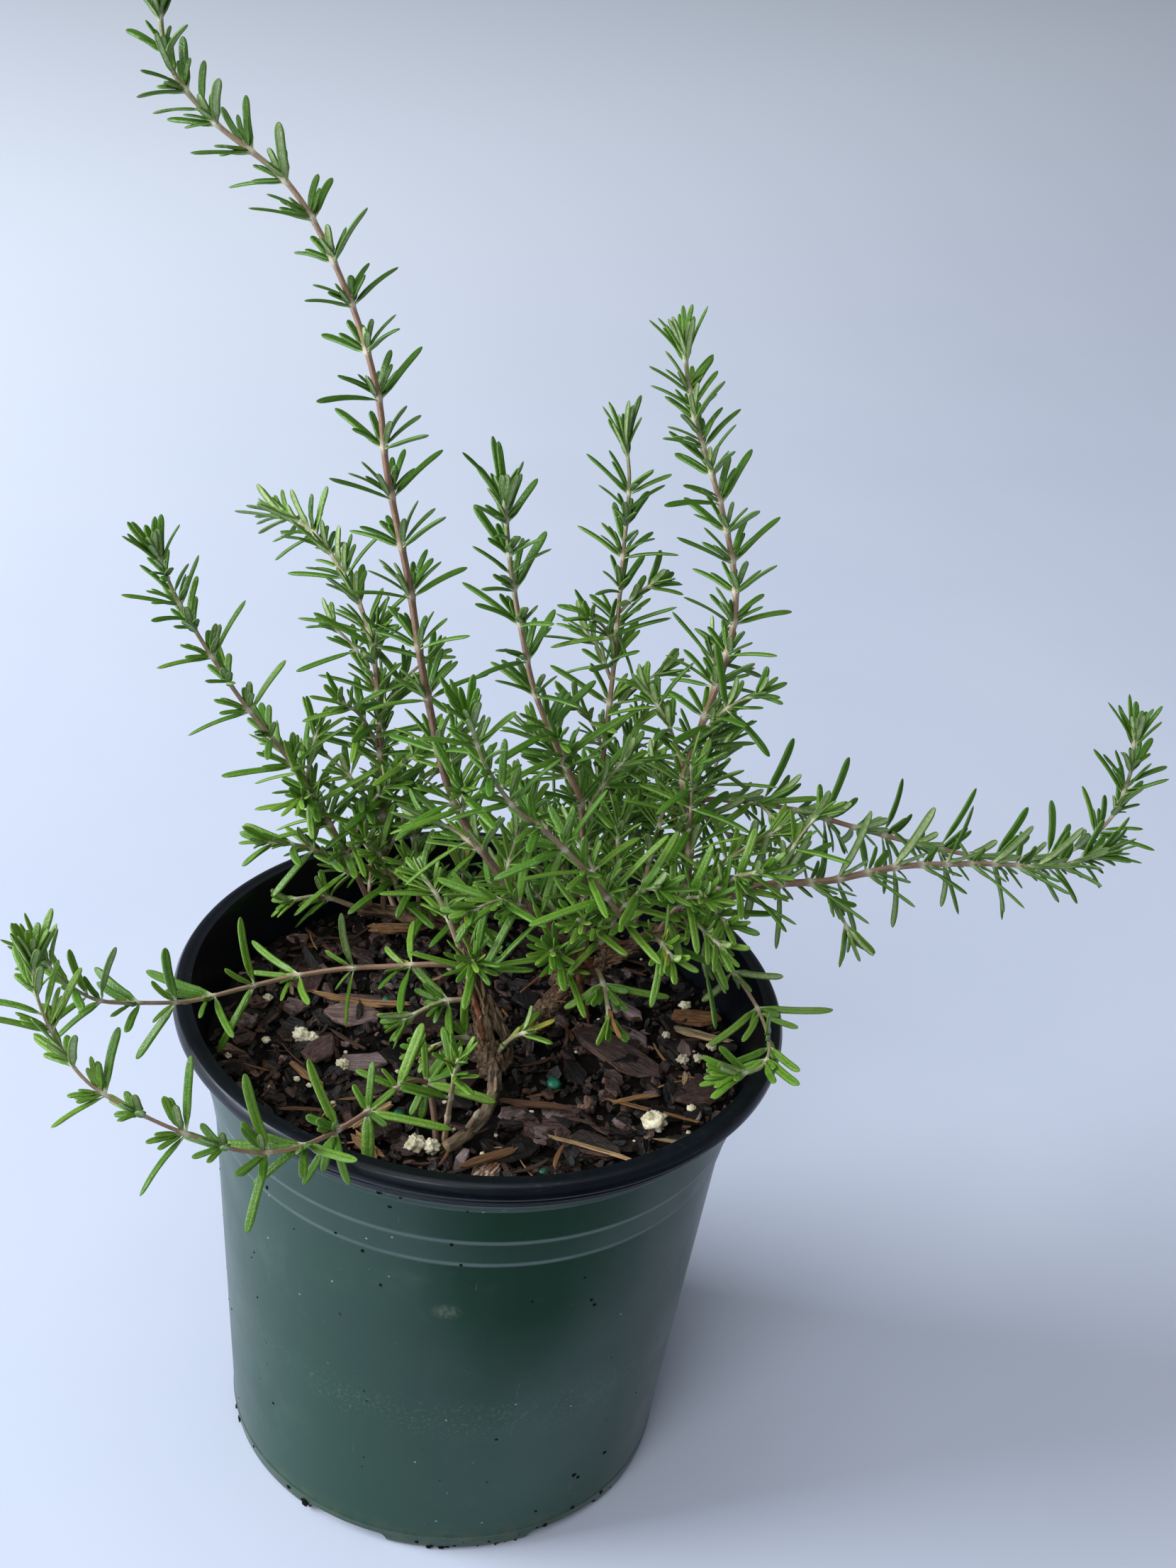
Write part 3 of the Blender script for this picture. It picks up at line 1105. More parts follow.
def limb_radius(route, shares):
    """Radius along a limb, from the radii at its points."""
    return np.interp(np.asarray(shares) * (len(route) - 1), np.arange(len(route)), [p[3] for p in route])


def crown_points():
    """Points along the limbs with the limb's radius, for keeping things clear of them."""
    rows = []
    for route in LIMBS.values():
        curve = Route(route)
        shares = np.linspace(0, 1, 60)
        rows.append(np.column_stack([curve.at(shares * curve.length), limb_radius(route, shares)]))
    return np.vstack(rows)


CROWN_POINTS = crown_points()

# The limbs as drawn: the bark limb and the loop are slimmer than the CAD model's, and a strand runs by
# the trunk.
DRAWN_LIMBS = {
    **LIMBS,
    "low_loop": [(-5, -45, 126, 1.6), (-4, -47.5, 132, 1.9), (-0.5, -46.5, 135, 2.0),
                 (4.2, -40.5, 136.6, 2.0), (6.8, -31.5, 137.4, 2.1), (6.8, -21, 137.4, 2.3),
                 (5, -10, 134.5, 3.0)],
    "bark_limb": [(6, -3, 119, 2.8), (11, 7, 124, 2.8), (15, 9, 132, 2.8), (17.5, 7, 140.5, 2.8),
                  (22, 4, 151, 2.7), (28.5, 1, 160, 2.6), (33, -4, 168.5, 2.4), (38, -6, 174, 2.1),
                  (45, -5, 179, 1.9), (53, -3, 184, 1.8), (58, -5, 189, 1.5)],
    "side_strand": [(9, -7, 128, 1.9), (9.4, -8, 134, 1.9), (8.4, -8, 141, 1.7), (5, -6.5, 147, 1.5),
                    (1, -4, 152, 1.2)],
}
# Knots on the crown: x, y, z, size.
KNOTS = [(3.6, -12.5, 136.2, 5.4), (7.2, -13.5, 135.6, 5.6), (5.4, -17.5, 136.4, 5.0), (4.8, -10.5, 139, 4.6),
         (17.6, 5.6, 141.6, 6.0), (20, 3.6, 146.5, 4.6)]
# How grey the bark of each limb is, from warm brown at 0 to cool grey at 1, and how rough.
BARK = {"trunk": (0.55, 1.0), "low_loop": (1.0, 0.45), "bark_limb": (0.1, 1.15), "left_limb": (0.5, 0.7),
        "back_limb": (0.5, 0.7), "side_strand": (0.8, 0.8)}
# How much the bark's texture runs on, for each radian round a limb.
BARK_TURN = 2.6


def add_limb(shells, index, name, route):
    grey, rough = BARK[name]
    curve = Route(route)
    steps = int(curve.length / LIMB_STEP)
    along = np.linspace(0, curve.length, steps + 1)
    points, tangents, normals = curve.frames(along)
    angles = angles_round(LIMB_SIDES)
    base = limb_radius(route, along / curve.length)
    radii = np.zeros((len(along), LIMB_SIDES))
    relief = np.zeros_like(radii)
    for i, s in enumerate(along):
        for k, a in enumerate(angles):
            c, d = math.cos(a), math.sin(a)
            ridge = noise.fractal(Vector((2.6 * c, 2.6 * d + 9 * index, 0.16 * s)), 0.8, 2.1, 4)
            knot = noise.noise(Vector((0.8 * c, 0.8 * d, 0.2 * s + 7 * index)))
            lump_here = max(0.0, noise.noise(Vector((1.6 * c + 5, 1.6 * d, 0.42 * s + 3 * index))))
            relief[i, k] = ridge
            radii[i, k] = base[i] * (0.85 + rough * (0.16 * ridge + 0.2 * knot + 0.36 * lump_here ** 1.5))
    radii[-2:] *= np.array([[0.9], [0.55]])
    run = by_ring(along, LIMB_SIDES, 0, curve.length)
    around = by_side(BARK_TURN * np.abs(angles - math.pi), len(along))
    height = np.clip(0.5 + 0.9 * np.append(relief.ravel(), [0, 0]), 0, 1)
    shells.add(*loft(tube_rings(points, tangents, normals, radii, angles)), run=run,
               turned=around + 11 * index, flake=0.0, grey=grey, height=height, cut=0.0)


# How many loose strips of bark a limb has, where that isn't as on most.
FLAKES = {"trunk": 110, "bark_limb": 260, "low_loop": 8}
MOST_FLAKES = 26
# Lengths of the strips, on most limbs and on the bark limb.
FLAKE_LENGTH = ((2.2, 7.0), (1.2, 3.6))
FLAKE_STEPS = 7


def add_flakes(shells, rng, name, route, count):
    """Thin strips of bark that lift off a limb."""
    curve = Route(route)
    t = np.linspace(0, 1, FLAKE_STEPS)
    for _ in range(count):
        length, width = rng.uniform(*FLAKE_LENGTH[name == "bark_limb"]), rng.uniform(0.7, 2.0)
        start = rng.uniform(0.22, 0.94) * curve.length
        along = np.clip(start + np.linspace(0, length, FLAKE_STEPS), 0, curve.length - 0.5)
        points, tangents, normals = curve.frames(along)
        binormals = np.cross(tangents, normals)
        angle = rng.uniform(0, FULL_TURN) + np.linspace(0, rng.uniform(-0.7, 0.7), FLAKE_STEPS)
        out = normals * np.cos(angle)[:, None] + binormals * np.sin(angle)[:, None]
        side = np.cross(tangents, out)
        peel = rng.uniform(0.2, 1.3) * t ** 2 if rng.uniform() < 0.55 else 0.5 * t * (1 - t)
        height = limb_radius(route, along / curve.length) * rng.uniform(0.84, 1.0) + peel
        half = 0.5 * width * np.sqrt(np.clip(1 - (2 * t - 1) ** 4, 0.04, 1))
        centre = points + out * height[:, None]
        thick = rng.uniform(0.2, 0.38)
        rings = np.stack([
            centre + side * half[:, None] + out * -0.1, centre + out * thick,
            centre - side * half[:, None] + out * -0.1, centre - out * thick,
        ], 1)
        turn = by_side([0.0, 0.8, 1.6, 0.8], FLAKE_STEPS) + rng.uniform(0, 20)
        shells.add(*loft(rings), run=by_ring(along, 4), turned=turn, flake=rng.uniform(0.2, 1.0),
                   grey=BARK[name][0], height=rng.uniform(0.2, 0.95), cut=0.0)


# A sawn-off stub low on the loop: route of x, y, z and the radius there.
STUB = [(4, -40.5, 136.4, 1.9), (1.6, -44.6, 135.8, 2.0), (-1, -47.8, 135.1, 2.0), (-3.4, -49.8, 134.6, 1.9)]


def add_stub(shells):
    """The stub, lumpy like the loop, with a pale end grain."""
    curve = Route(STUB)
    along = np.linspace(0, curve.length, 12)
    points, tangents, normals = curve.frames(along)
    angles = angles_round(LIMB_SIDES)
    base = limb_radius(STUB, along / curve.length)
    radii = np.array([[r * (0.94 + 0.22 * noise.noise(Vector((math.cos(a), math.sin(a), 0.3 * s))))
                       for a in angles] for r, s in zip(base, along)])
    radii[-1] *= 0.86
    sawn = by_ring([0.0] * (len(along) - 1) + [0.5], LIMB_SIDES, 0, 1)
    shells.add(*loft(tube_rings(points, tangents, normals, radii, angles)),
               run=by_ring(along, LIMB_SIDES, 0, curve.length),
               turned=by_side(BARK_TURN * np.abs(angles - math.pi), len(along)),
               flake=0.0, grey=0.8, height=0.5, cut=sawn)


def add_knots(shells, rng):
    for x, y, z, size in KNOTS:
        points, quads, triangles = lump(rng, size, 0.9, 0.55, 14)
        rough = np.array([noise.fractal(Vector(p) * 0.9, 0.8, 2.1, 3) for p in points])
        shells.add(points + np.array([x, y, z]), quads, triangles, run=points[:, 2] * 1.5,
                   turned=points[:, 0] * 2, flake=0.0, grey=0.6, height=np.clip(0.5 + 0.5 * rough, 0, 1),
                   cut=0.0)


def make_crown(finish):
    rng = np.random.default_rng(SCENE_SEED + 3)
    shells = Shells()
    for index, (name, route) in enumerate(DRAWN_LIMBS.items()):
        add_limb(shells, index, name, route)
        add_flakes(shells, rng, name, route, FLAKES.get(name, MOST_FLAKES))
    add_stub(shells)
    add_knots(shells, rng)
    return shells.make("bark_crown", [finish])


# Dead twigs that hang on the crown: route of x, y, z and the radius there.
DEAD_TWIGS = [
    [(31, -2, 166, 0.7), (26, -7, 169.5, 0.65), (25.5, -8, 171.5, 0.6), (30, -8.5, 174.6, 0.55),
     (37.5, -9, 178, 0.45), (44, -9, 181, 0.3)],
    [(28, -1, 163.5, 0.6), (26, -7, 164.3, 0.75), (27, -8.2, 160, 1.0), (29.2, -8.4, 154.5, 0.8),
     (30.4, -8, 149.5, 0.3)],
    [(30, -2, 164.5, 0.6), (22, -7, 165.4, 0.55), (16, -9.5, 164, 0.5), (11, -13, 160.5, 0.3)],
    [(-4, -4, 158, 0.5), (-1.6, -7, 153, 0.9), (0.8, -9.6, 147.4, 0.9), (2.4, -11.6, 142.4, 0.5)],
]
TWIG_SIDES = 10


def make_dead_twigs(finish):
    angles = angles_round(TWIG_SIDES)
    shells = Shells()
    for index, route in enumerate(DEAD_TWIGS):
        curve = Route(route)
        along = np.linspace(0, curve.length, int(curve.length / 0.6))
        points, tangents, normals = curve.frames(along)
        base = limb_radius(route, along / curve.length)
        lumpy = np.array([[noise.noise(Vector((1.3 * math.cos(a), math.sin(a), 0.5 * s + index)))
                           for a in angles] for s in along])
        radii = base[:, None] * (0.9 + 0.4 * lumpy)
        shells.add(*loft(tube_rings(points, tangents, normals, radii, angles)), tone=0.3 + 0.12 * index,
                   run=by_ring(along, TWIG_SIDES, 0, curve.length))
    return shells.make("dead_twigs", [finish])


def dead_twig_finish():
    """Dry reddish brown wood, streaked along its length."""
    f = Finish("dead_twig")
    grain = f.join(f.times(f.value("run"), 0.3), f.value("tone"), f.noise(600.0))
    streaks = f.noise(1.0, 4.0, 0.6, vector=grain)
    colour = f.ramp(streaks, (0.3, srgb(70, 38, 26)), (0.5, srgb(122, 74, 50)), (0.72, srgb(158, 108, 78)))
    return f.set(Base_Color=colour, Roughness=0.8, Normal=f.bump(streaks, 0.3, 0.8))


# ---- leafy stems ----------------------------------------------------------------------------


class Obstacles:
    """Centre lines with a radius, each owned by a node, that leaves keep clear of."""

    def __init__(self, room):
        self.start, self.end = np.zeros((room, 3)), np.zeros((room, 3))
        self.radius, self.owner = np.zeros(room), np.zeros(room, int)
        self.is_leaf = np.zeros(room, bool)
        self.count = 0

    def add(self, owner, points, radius, is_leaf=False):
        n = len(points) - 1
        rows = slice(self.count, self.count + n)
        self.start[rows], self.end[rows] = points[:-1], points[1:]
        self.radius[rows], self.owner[rows], self.is_leaf[rows] = radius, owner, is_leaf
        self.count += n

    def distances(self, p, q):
        """From the line p to q to each centre line."""
        start, end = self.start[:self.count], self.end[:self.count]
        d1, d2, r = q - p, end - start, p - start
        aa, bb, ab = d1 @ d1, np.einsum("ij,ij->i", d2, d2), d2 @ d1
        c, f = r @ d1, np.einsum("ij,ij->i", d2, r)
        under = aa * bb - ab * ab
        s = np.clip(np.where(under > 1e-9, (ab * f - c * bb) / np.maximum(under, 1e-9), 0), 0, 1)
        t = (ab * s + f) / bb
        clamped = np.clip(t, 0, 1)
        s = np.where(t != clamped, np.clip((ab * clamped - c) / aa, 0, 1), s)
        gap = (p + np.outer(s, d1)) - (start + d2 * clamped[:, None])
        return np.linalg.norm(gap, axis=1)


MOST_LINES = 16000
OBSTACLES = Obstacles(MOST_LINES)
CROWN_OWNER = 0
# How far leaves keep from the pot's wall, its rim and the soil.
WALL_ROOM = 2.5
RIM_ROOM = 1.6
SOIL_ROOM = 4.5
# How far leaves keep from their own stem. The loose ones keep less far from anything: from their own
# stem, from others as a share of the leaf's width, and with the others' radius taken as a share.
OWN_ROOM = 0.3
LOOSE_ROOM = (0.25, 0.3, 0.55)
# Radius that leaves see round a limb and round a sprig, and the points of a middle line.
LIMB_ROOM = 3.2
SPRIG_ROOM = 0.8
LINE_POINTS = 21
SPRIG_LINE_POINTS = 5


def clear_of_pot(points):
    """Whether points keep clear of the pot and its soil."""
    for x, y, z in points:
        r = math.hypot(x, y)
        wall = mix(POT["base_radius"], POT["mouth_radius"], min(z, POT["height"]) / POT["height"])
        inside = r < wall - POT["wall"] - WALL_ROOM and z > SOIL["level"] + SOIL_ROOM
        above = z > POT["height"] + RIM_ROOM
        outside = r > POT["rim_radius"] + RIM_ROOM and z > 2
        if not (inside or above or outside):
            return False
    return True


def leaf_pose(root, outward, tangent, slot):
    """Where a leaf grows: from a flat side of the stem, outwards and up."""
    sideways = np.cross(tangent, outward)
    out = unit(outward + sideways * math.tan(slot["turn"]))
    along = out * math.sin(slot["lift"]) + tangent * math.cos(slot["lift"])
    upper = unit(tangent - along * (tangent @ along))
    length = slot["length"]
    return {**slot, "root": root, "along": along, "upper": upper, "middle": root + along * 0.5 * length,
            "tip": root + along * length - upper * LEAF["bend"] * length}


def is_clear(owner, pose, loose=False):
    """Whether a leaf keeps clear of the pot and of the lines that stand so far."""
    root, middle, tip = pose["root"], pose["middle"], pose["tip"]
    samples = [mix(a, b, t) for t in (0.4, 0.7, 1) for a, b in ((root, middle), (middle, tip))]
    if not clear_of_pot(samples):
        return False
    n = OBSTACLES.count
    radius, own = OBSTACLES.radius[:n], OBSTACLES.owner[:n] == owner
    free = mix(root, middle, 0.7)
    outer = OBSTACLES.distances(middle, tip)
    if loose:
        own_room, width_share, radius_share = LOOSE_ROOM
        room = np.where(own, own_room, width_share * pose["width"]) + radius_share * radius
        inner = np.where(own, np.inf, OBSTACLES.distances(free, middle))
    else:
        own_stem = own & ~OBSTACLES.is_leaf[:n]
        room = np.where(own_stem, OWN_ROOM, 0.5 * pose["width"] + LEAF["clearance"]) + radius
        inner = np.where(own, OBSTACLES.distances(free, middle), OBSTACLES.distances(root, middle))
    return bool(((inner > room) & (outer > room)).all())


# What is tried in turn: how far the leaf is turned and lifted more, and how long it is.
TRIES = [(0, 0, 1), (0.25, 0, 1), (-0.25, 0, 1), (0, -0.25, 1), (0, 0.25, 0.9), (0.4, 0, 0.8),
         (-0.4, 0, 0.8), (0, -0.25, 0.7)]
LOOSE_TRIES = [(0, 0, 1), (0.22, 0, 0.9), (-0.22, 0, 0.9), (0, -0.15, 0.8), (0, 0.2, 0.7)]


def place_leaf(stem, at, root, outward, tangent, slot, loose=False):
    """Tries a leaf as it grows, then turned, lifted or shortened until it is clear."""
    for turn, lift, size in LOOSE_TRIES if loose else TRIES:
        moved = {**slot, "turn": slot["turn"] + turn, "lift": slot["lift"] + lift,
                 "length": size * slot["length"]}
        pose = leaf_pose(root, outward, tangent, moved)
        if is_clear(stem["owner"], pose, loose):
            line = np.array([pose["root"], pose["middle"], pose["tip"]])
            OBSTACLES.add(stem["owner"], line, 0.5 * slot["width"], True)
            return {**pose, "along_stem": at}
    return None


# Kinds of leaf, the fourth of a leaf's keys: long, in an axil of the CAD model's, at the tip, in a
# bunch (one more at the tip), between two pairs, and placed as the photograph shows it.
LONG_KIND, AXIL_KIND, TIP_KIND, BUNCH_KIND, BETWEEN_KIND, SHOWN_KIND = 0, 1, 2, 7, 12, 40
# Within this length of a long stem's tip the leaves are crowded.
CROWDED = 34.0


def kind_at(slots):
    """The kind of leaf that grows at a ring, or None."""
    return slots[0]["keys"][3] if slots else None


def slot_pair(stem, pair, kind, turn, lift, length, width):
    slots = []
    for half in (0, 1):
        keys = (stem["owner"], pair, half, kind)
        slots.append({"side": pair % 2 + 2 * half, "turn": spread(turn, *keys, 1),
                      "lift": lift + spread(0.16, *keys, 2),
                      "length": length * (1 + spread(0.12, *keys, 3)), "width": width, "keys": keys})
    return slots


def leaf_pair(stem, pair, share):
    length = stem["leaf"] * mix(1, 0.6, share ** 3)
    return slot_pair(stem, pair, LONG_KIND, 0.16, mix(1.25, 0.7, share ** 2), length, LEAF["width"])


def axil_pair(stem, pair):
    return slot_pair(stem, pair, AXIL_KIND, 0.25, 0.65, 0.52 * stem["leaf"], LEAF["axil_width"])


def tip_pair(stem, pair, size):
    return slot_pair(stem, pair, TIP_KIND, 0.1, 0.42, size * stem["leaf"], LEAF["axil_width"])


def stem_rings(stem):
    """How far along each ring lies, and the leaves that grow there, as in the CAD model."""
    length = stem["curve"].length
    rings = [(0.0, [])]
    plain = int(stem["bare"] / STEM_STEP + 0.5)
    rings += [((stem["bare"] - 3) * i / plain, []) for i in range(1, plain + 1)]
    pair, along = 0, float(stem["bare"])
    while along < length - 6:
        share = along / length
        rings.append((along, leaf_pair(stem, pair, share)))
        if stem["axil"] and pair % 2 == 0:
            rings.append((along + 2.4, axil_pair(stem, pair)))
        along += mix(*stem["spacing"], share)
        pair += 1
    rings.append((length - 3.2, tip_pair(stem, pair, 0.6)))
    rings.append((length - 1, tip_pair(stem, pair + 1, 0.45)))
    rings.append((length, []))
    return rings


def shoot_route(foot, tip):
    foot, tip = np.array(foot, float), np.array(tip, float)
    middle = 0.5 * (foot + tip) + np.array([0, 0, 0.12 * np.linalg.norm(tip - foot)])
    return [foot, middle, tip]


STEM_SHAPE = {"leaf": 20, "axil": True, "sprig": False}
SHOOT_SHAPE = {"radius": (1.1, 0.75), "spacing": (8.5, 6.5), "bare": 9, "leaf": 17, "axil": False,
               "sprig": False}


def new_stem(name, owner, route, shape):
    return {"name": name, "owner": owner, "curve": Route(route), "leaves": [], **shape}


def all_stems():
    grown = [(name, route, {"radius": radius, "spacing": spacing, "bare": bare, **STEM_SHAPE})
             for name, (radius, spacing, bare, route) in STEMS.items()]
    grown += [(f"shoot_{place}_{i}", shoot_route(*ends), SHOOT_SHAPE)
              for place, shoots in SHOOTS.items() for i, ends in enumerate(shoots, 1)]
    return [new_stem(name, owner, route, shape) for owner, (name, route, shape) in enumerate(grown, 1)]


def stem_radius(stem, along):
    return np.interp(along, [0, stem["curve"].length], stem["radius"])


def grow_leaves(stem, loose=False):
    """The leaves at each ring of a stem; on the CAD model's stems they are at the same places."""
    stem["rings"] = stem_rings(stem)
    along = np.array([a for a, _ in stem["rings"]])
    points, tangents, normals = stem["curve"].frames(along, stem["owner"])
    stem["ring_frames"] = (along, points, tangents, normals)
    for (at, slots), point, tangent, normal in zip(stem["rings"], points, tangents, normals):
        for slot in sorted(slots, key=lambda entry: entry["side"]):
            outward = side_way(slot["side"], tangent, normal)
            root = point + outward * stem_radius(stem, at) * math.cos(math.pi / 4)
            pose = place_leaf(stem, at, root, outward, tangent, slot, loose)
            if pose:
                stem["leaves"].append(pose)


def side_way(side, tangent, normal):
    """The direction that a flat side of the square stem faces."""
    angle = 0.5 * math.pi * side
    return normal * math.cos(angle) + np.cross(tangent, normal) * math.sin(angle)


# Bunches of small leaves in the axils: turn, lift, and length as a share of the long leaf's.
AXIL_BUNCH = [(0.62, 0.85, 0.54), (-0.62, 0.8, 0.5)]
AXIL_MIDDLE = (0.0, 0.55, 0.54)
AXIL_BUD = (0.2, 0.3, 0.36)
LEAN_BUNCH = [(0.45, 0.6, 0.42)]
TIP_BUNCH = [(0.75, 0.4, 1.25), (-0.75, 0.34, 1.1), (0.1, 0.2, 0.8)]
SHOOT_TIP_BUNCH = [(0.6, 0.45, 0.8)]
SPRIG_BUNCH = [(0.5, 0.5, 0.55), (-0.45, 0.35, 0.42)]
# Stems with few small leaves up to LEAN_SHARE of their length, and stems with more than others.
LEAN_STEMS = ("stem_trailing_left", "stem_over_rim", "stem_right_front", "shoot_front_2", "shoot_front_3",
              "shoot_centre_4")
LEAN_SHARE = 0.9
FULL_STEMS = ("stem_tall_left",)
# Small leaves root at this share of the stem's radius.
SMALL_ROOT = 0.75
# The loop of old wood stays in sight: how far small leaves, and the shoots' leaves, keep from its middle.
OPEN_CENTRE = np.array([2, -41, 139])
OPEN_REACH = 13.0
LOOP_REACH = 19.0


def in_open_zone(pose, reach):
    return any(np.linalg.norm(pose[end] - OPEN_CENTRE) < reach for end in ("middle", "tip"))


def bunch_at(stem, slot, is_tip, share):
    keys = slot["keys"]
    if stem["name"] in LEAN_STEMS and share < LEAN_SHARE:
        return LEAN_BUNCH
    if is_tip:
        return TIP_BUNCH if stem["axil"] else SHOOT_TIP_BUNCH
    if stem["sprig"]:
        return SPRIG_BUNCH
    has_cad_axil = stem["axil"] and keys[1] % 2 == 0 and stem["name"] not in FULL_STEMS
    bunch = AXIL_BUNCH if has_cad_axil else [*AXIL_BUNCH, AXIL_MIDDLE]
    return [*bunch, AXIL_BUD] if draw(*keys[:3], BUNCH_KIND, 1) < 0.55 else bunch


def grow_bunches(stem):
    """Small leaves bunched in the axil of each long leaf, too fine for the CAD model."""
    for (at, slots), point, tangent, normal in zip(stem["rings"], *stem["ring_frames"][1:]):
        if kind_at(slots) in (None, AXIL_KIND):
            continue
        share = at / stem["curve"].length
        is_tip = kind_at(slots) == TIP_KIND
        for slot in slots:
            keys = (*slot["keys"][:3], BUNCH_KIND + is_tip)
            outward = side_way(slot["side"], tangent, normal)
            for i, (turn, lift, reach) in enumerate(bunch_at(stem, slot, is_tip, share)):
                small = {"turn": turn + spread(0.22, *keys, i, 2),
                         "lift": lift * mix(1, 0.8, share) + spread(0.14, *keys, i, 3),
                         "length": slot["length"] * reach * (1 + spread(0.22, *keys, i, 4)),
                         "width": LEAF["axil_width"] * (0.9 + spread(0.12, *keys, i, 5)),
                         "keys": (*keys, i)}
                root = point + outward * stem_radius(stem, at) * SMALL_ROOT + tangent * (0.8 + 0.5 * i)
                pose = place_leaf(stem, at, root, outward, tangent, small, loose=True)
                if pose and not in_open_zone(pose, OPEN_REACH):
                    stem["leaves"].append(pose)


def grow_between(stem):
    """Extra pairs among the crowded young leaves near a long stem's tip."""
    length = stem["curve"].length
    pairs = [at for at, slots in stem["rings"] if kind_at(slots) == LONG_KIND]
    crowded = [(a + b) / 2 for a, b in zip(pairs, pairs[1:]) if a > length - CROWDED]
    points, tangents, normals = stem["curve"].frames(np.array([0, *crowded]), stem["owner"])
    for n, at in enumerate(crowded, 1):
        for half in (0, 1):
            keys = (stem["owner"], n, half, BETWEEN_KIND)
            outward = side_way(n % 2 + 2 * half + 0.5, tangents[n], normals[n])
            slot = {"turn": spread(0.3, *keys, 1), "lift": 0.62 + spread(0.16, *keys, 2),
                    "length": 0.62 * stem["leaf"] * (1 + spread(0.15, *keys, 3)),
                    "width": LEAF["axil_width"], "keys": keys}
            root = points[n] + outward * stem_radius(stem, at) * SMALL_ROOT
            pose = place_leaf(stem, at, root, outward, tangents[n], slot, loose=True)
            if pose:
                stem["leaves"].append(pose)


# Half of a leaf's section from the middle of its upper side to the rib below: across and up.
HALF_SECTION = [(0.0, 0.10), (0.40, 0.30), (0.82, 0.16), (1.0, -0.20), (0.70, -0.42), (0.38, -0.20),
                (0.0, -0.36)]
LEAF_SECTION = np.array(HALF_SECTION + [(-x, y) for x, y in reversed(HALF_SECTION[1:-1])])
UNDERSIDE = np.array([0, 0, 0, 0, 1, 1, 1, 1, 1, 0, 0, 0], np.float32)
LONG_STEPS = np.array([0, 0.05, 0.12, 0.22, 0.34, 0.47, 0.6, 0.72, 0.82, 0.9, 0.955, 0.985, 1.0])
SHORT_STEPS = np.array([0, 0.08, 0.2, 0.38, 0.57, 0.75, 0.88, 0.96, 1.0])
# Leaves longer than this, in mm, have the long steps.
LONG_LEAF = 11
LEAF_FULLNESS = 0.94
# How far a leaf turns its upper side from the stem's tip to the sky.
TURN_TO_LIGHT = 0.62
# Leaves are darker at the height from the first value to the second.
DARK_FROM = (180, 290)
# Leaves of these stems are darker, or lighter, than others.
STEM_SHADE = {"stem_right_front": -0.34, "stem_right_back": -0.34, "stem_tall_right": 0.1,
              "stem_middle": -0.04, "stem_trailing_left": -0.08}
# Leaves are larger on the first stretch of the stem that hangs nearest: where the stretch ends, and how
# much longer and wider they are.
LARGE_LEAVES = {"stem_trailing_front": (78, 1.12, 1.2)}
# Shoots that are shorter than in the CAD model, as a share of their length.
TRIMMED = {"shoot_front_2": 0.42}
# Whorls that the photograph shows large: place along the stem, then each leaf's azimuth, rise, length
# and width.
SHOWN_WHORLS = {
    "stem_trailing_front": [
        (18.4, [(-15, 6, 18.4, 3.3), (106, 64, 11, 2.2), (58, 38, 11, 3.0), (33, 24, 12.7, 2.4),
                (11, 31, 8.6, 1.9), (-8, 1, 8, 1.9), (-112, -37, 9, 2.6), (-90, -47, 9, 2.4),
                (-169, 24, 5.7, 1.8)]),
        (30.6, [(57, 63, 17.2, 3.3), (67, 46, 15.4, 2.4), (175, 19, 11.4, 2.2), (-12, 6, 8.5, 2.2),
                (170, 54, 6.3, 1.8)]),
        (44.4, [(-8, 2, 21, 3.1), (-77, -49, 16.5, 3.3), (95, 69, 12, 2.0), (-36, -2, 6, 2.2),
                (35, 36, 8.6, 2.4), (150, 50, 7.5, 1.9)]),
    ],
}
# They take the place of all leaves up to this far past the last of them.
WHORL_ROOM = 3
# Old leaves are yellow most often round this place. No leaf is that roots further from the pot's axis
# than POT_MIDDLE_REACH or is longer than OLD_LEAF_LENGTH.
YELLOW_ZONE = {"centre": (44, -14, 172), "reach": 22.0}
POT_MIDDLE_REACH = 62.0
OLD_LEAF_LENGTH = 11.5


def dryness(pose, keys):
    """A few old leaves low in the plant turn yellow, and fewer brown."""
    root = pose["root"]
    if math.hypot(root[0], root[1]) > POT_MIDDLE_REACH or pose["length"] > OLD_LEAF_LENGTH:
        return 0.0
    chance = 0.05 * (1 - smooth_step(150, 185, root[2]))
    near = np.linalg.norm(root - np.array(YELLOW_ZONE["centre"])) / YELLOW_ZONE["reach"]
    if near < 1:
        chance += 0.2 * (1 - near)
    pick = draw(*keys, 21)
    if pick > chance:
        return 0.0
    return 0.9 if pick < 0.15 * chance else 0.25 + 0.3 * draw(*keys, 22)


def grow_shown_whorls(stem):
    """Puts the shown whorls' leaves in place of those drawn for that stretch of the stem."""
    whorls = SHOWN_WHORLS[stem["name"]]
    end = whorls[-1][0] + WHORL_ROOM
    stem["leaves"] = [pose for pose in stem["leaves"] if pose["along_stem"] > end]
    points = stem["curve"].at([at for at, _ in whorls])
    for n, (at, leaves) in enumerate(whorls):
        for k, (azimuth, rise, length, width) in enumerate(leaves):
            azimuth, rise = math.radians(azimuth), math.radians(rise)
            along = np.array([math.cos(azimuth) * math.cos(rise), math.sin(azimuth) * math.cos(rise),
                              math.sin(rise)])
            upper = np.array([0, -0.4, 1.0])
            upper = unit(upper - along * (upper @ along))
            stem["leaves"].append({"root": points[n] + along * 0.6, "along": along, "upper": upper,
                                   "length": length, "width": width, "along_stem": at,
                                   "keys": (stem["owner"], n, k, SHOWN_KIND)})


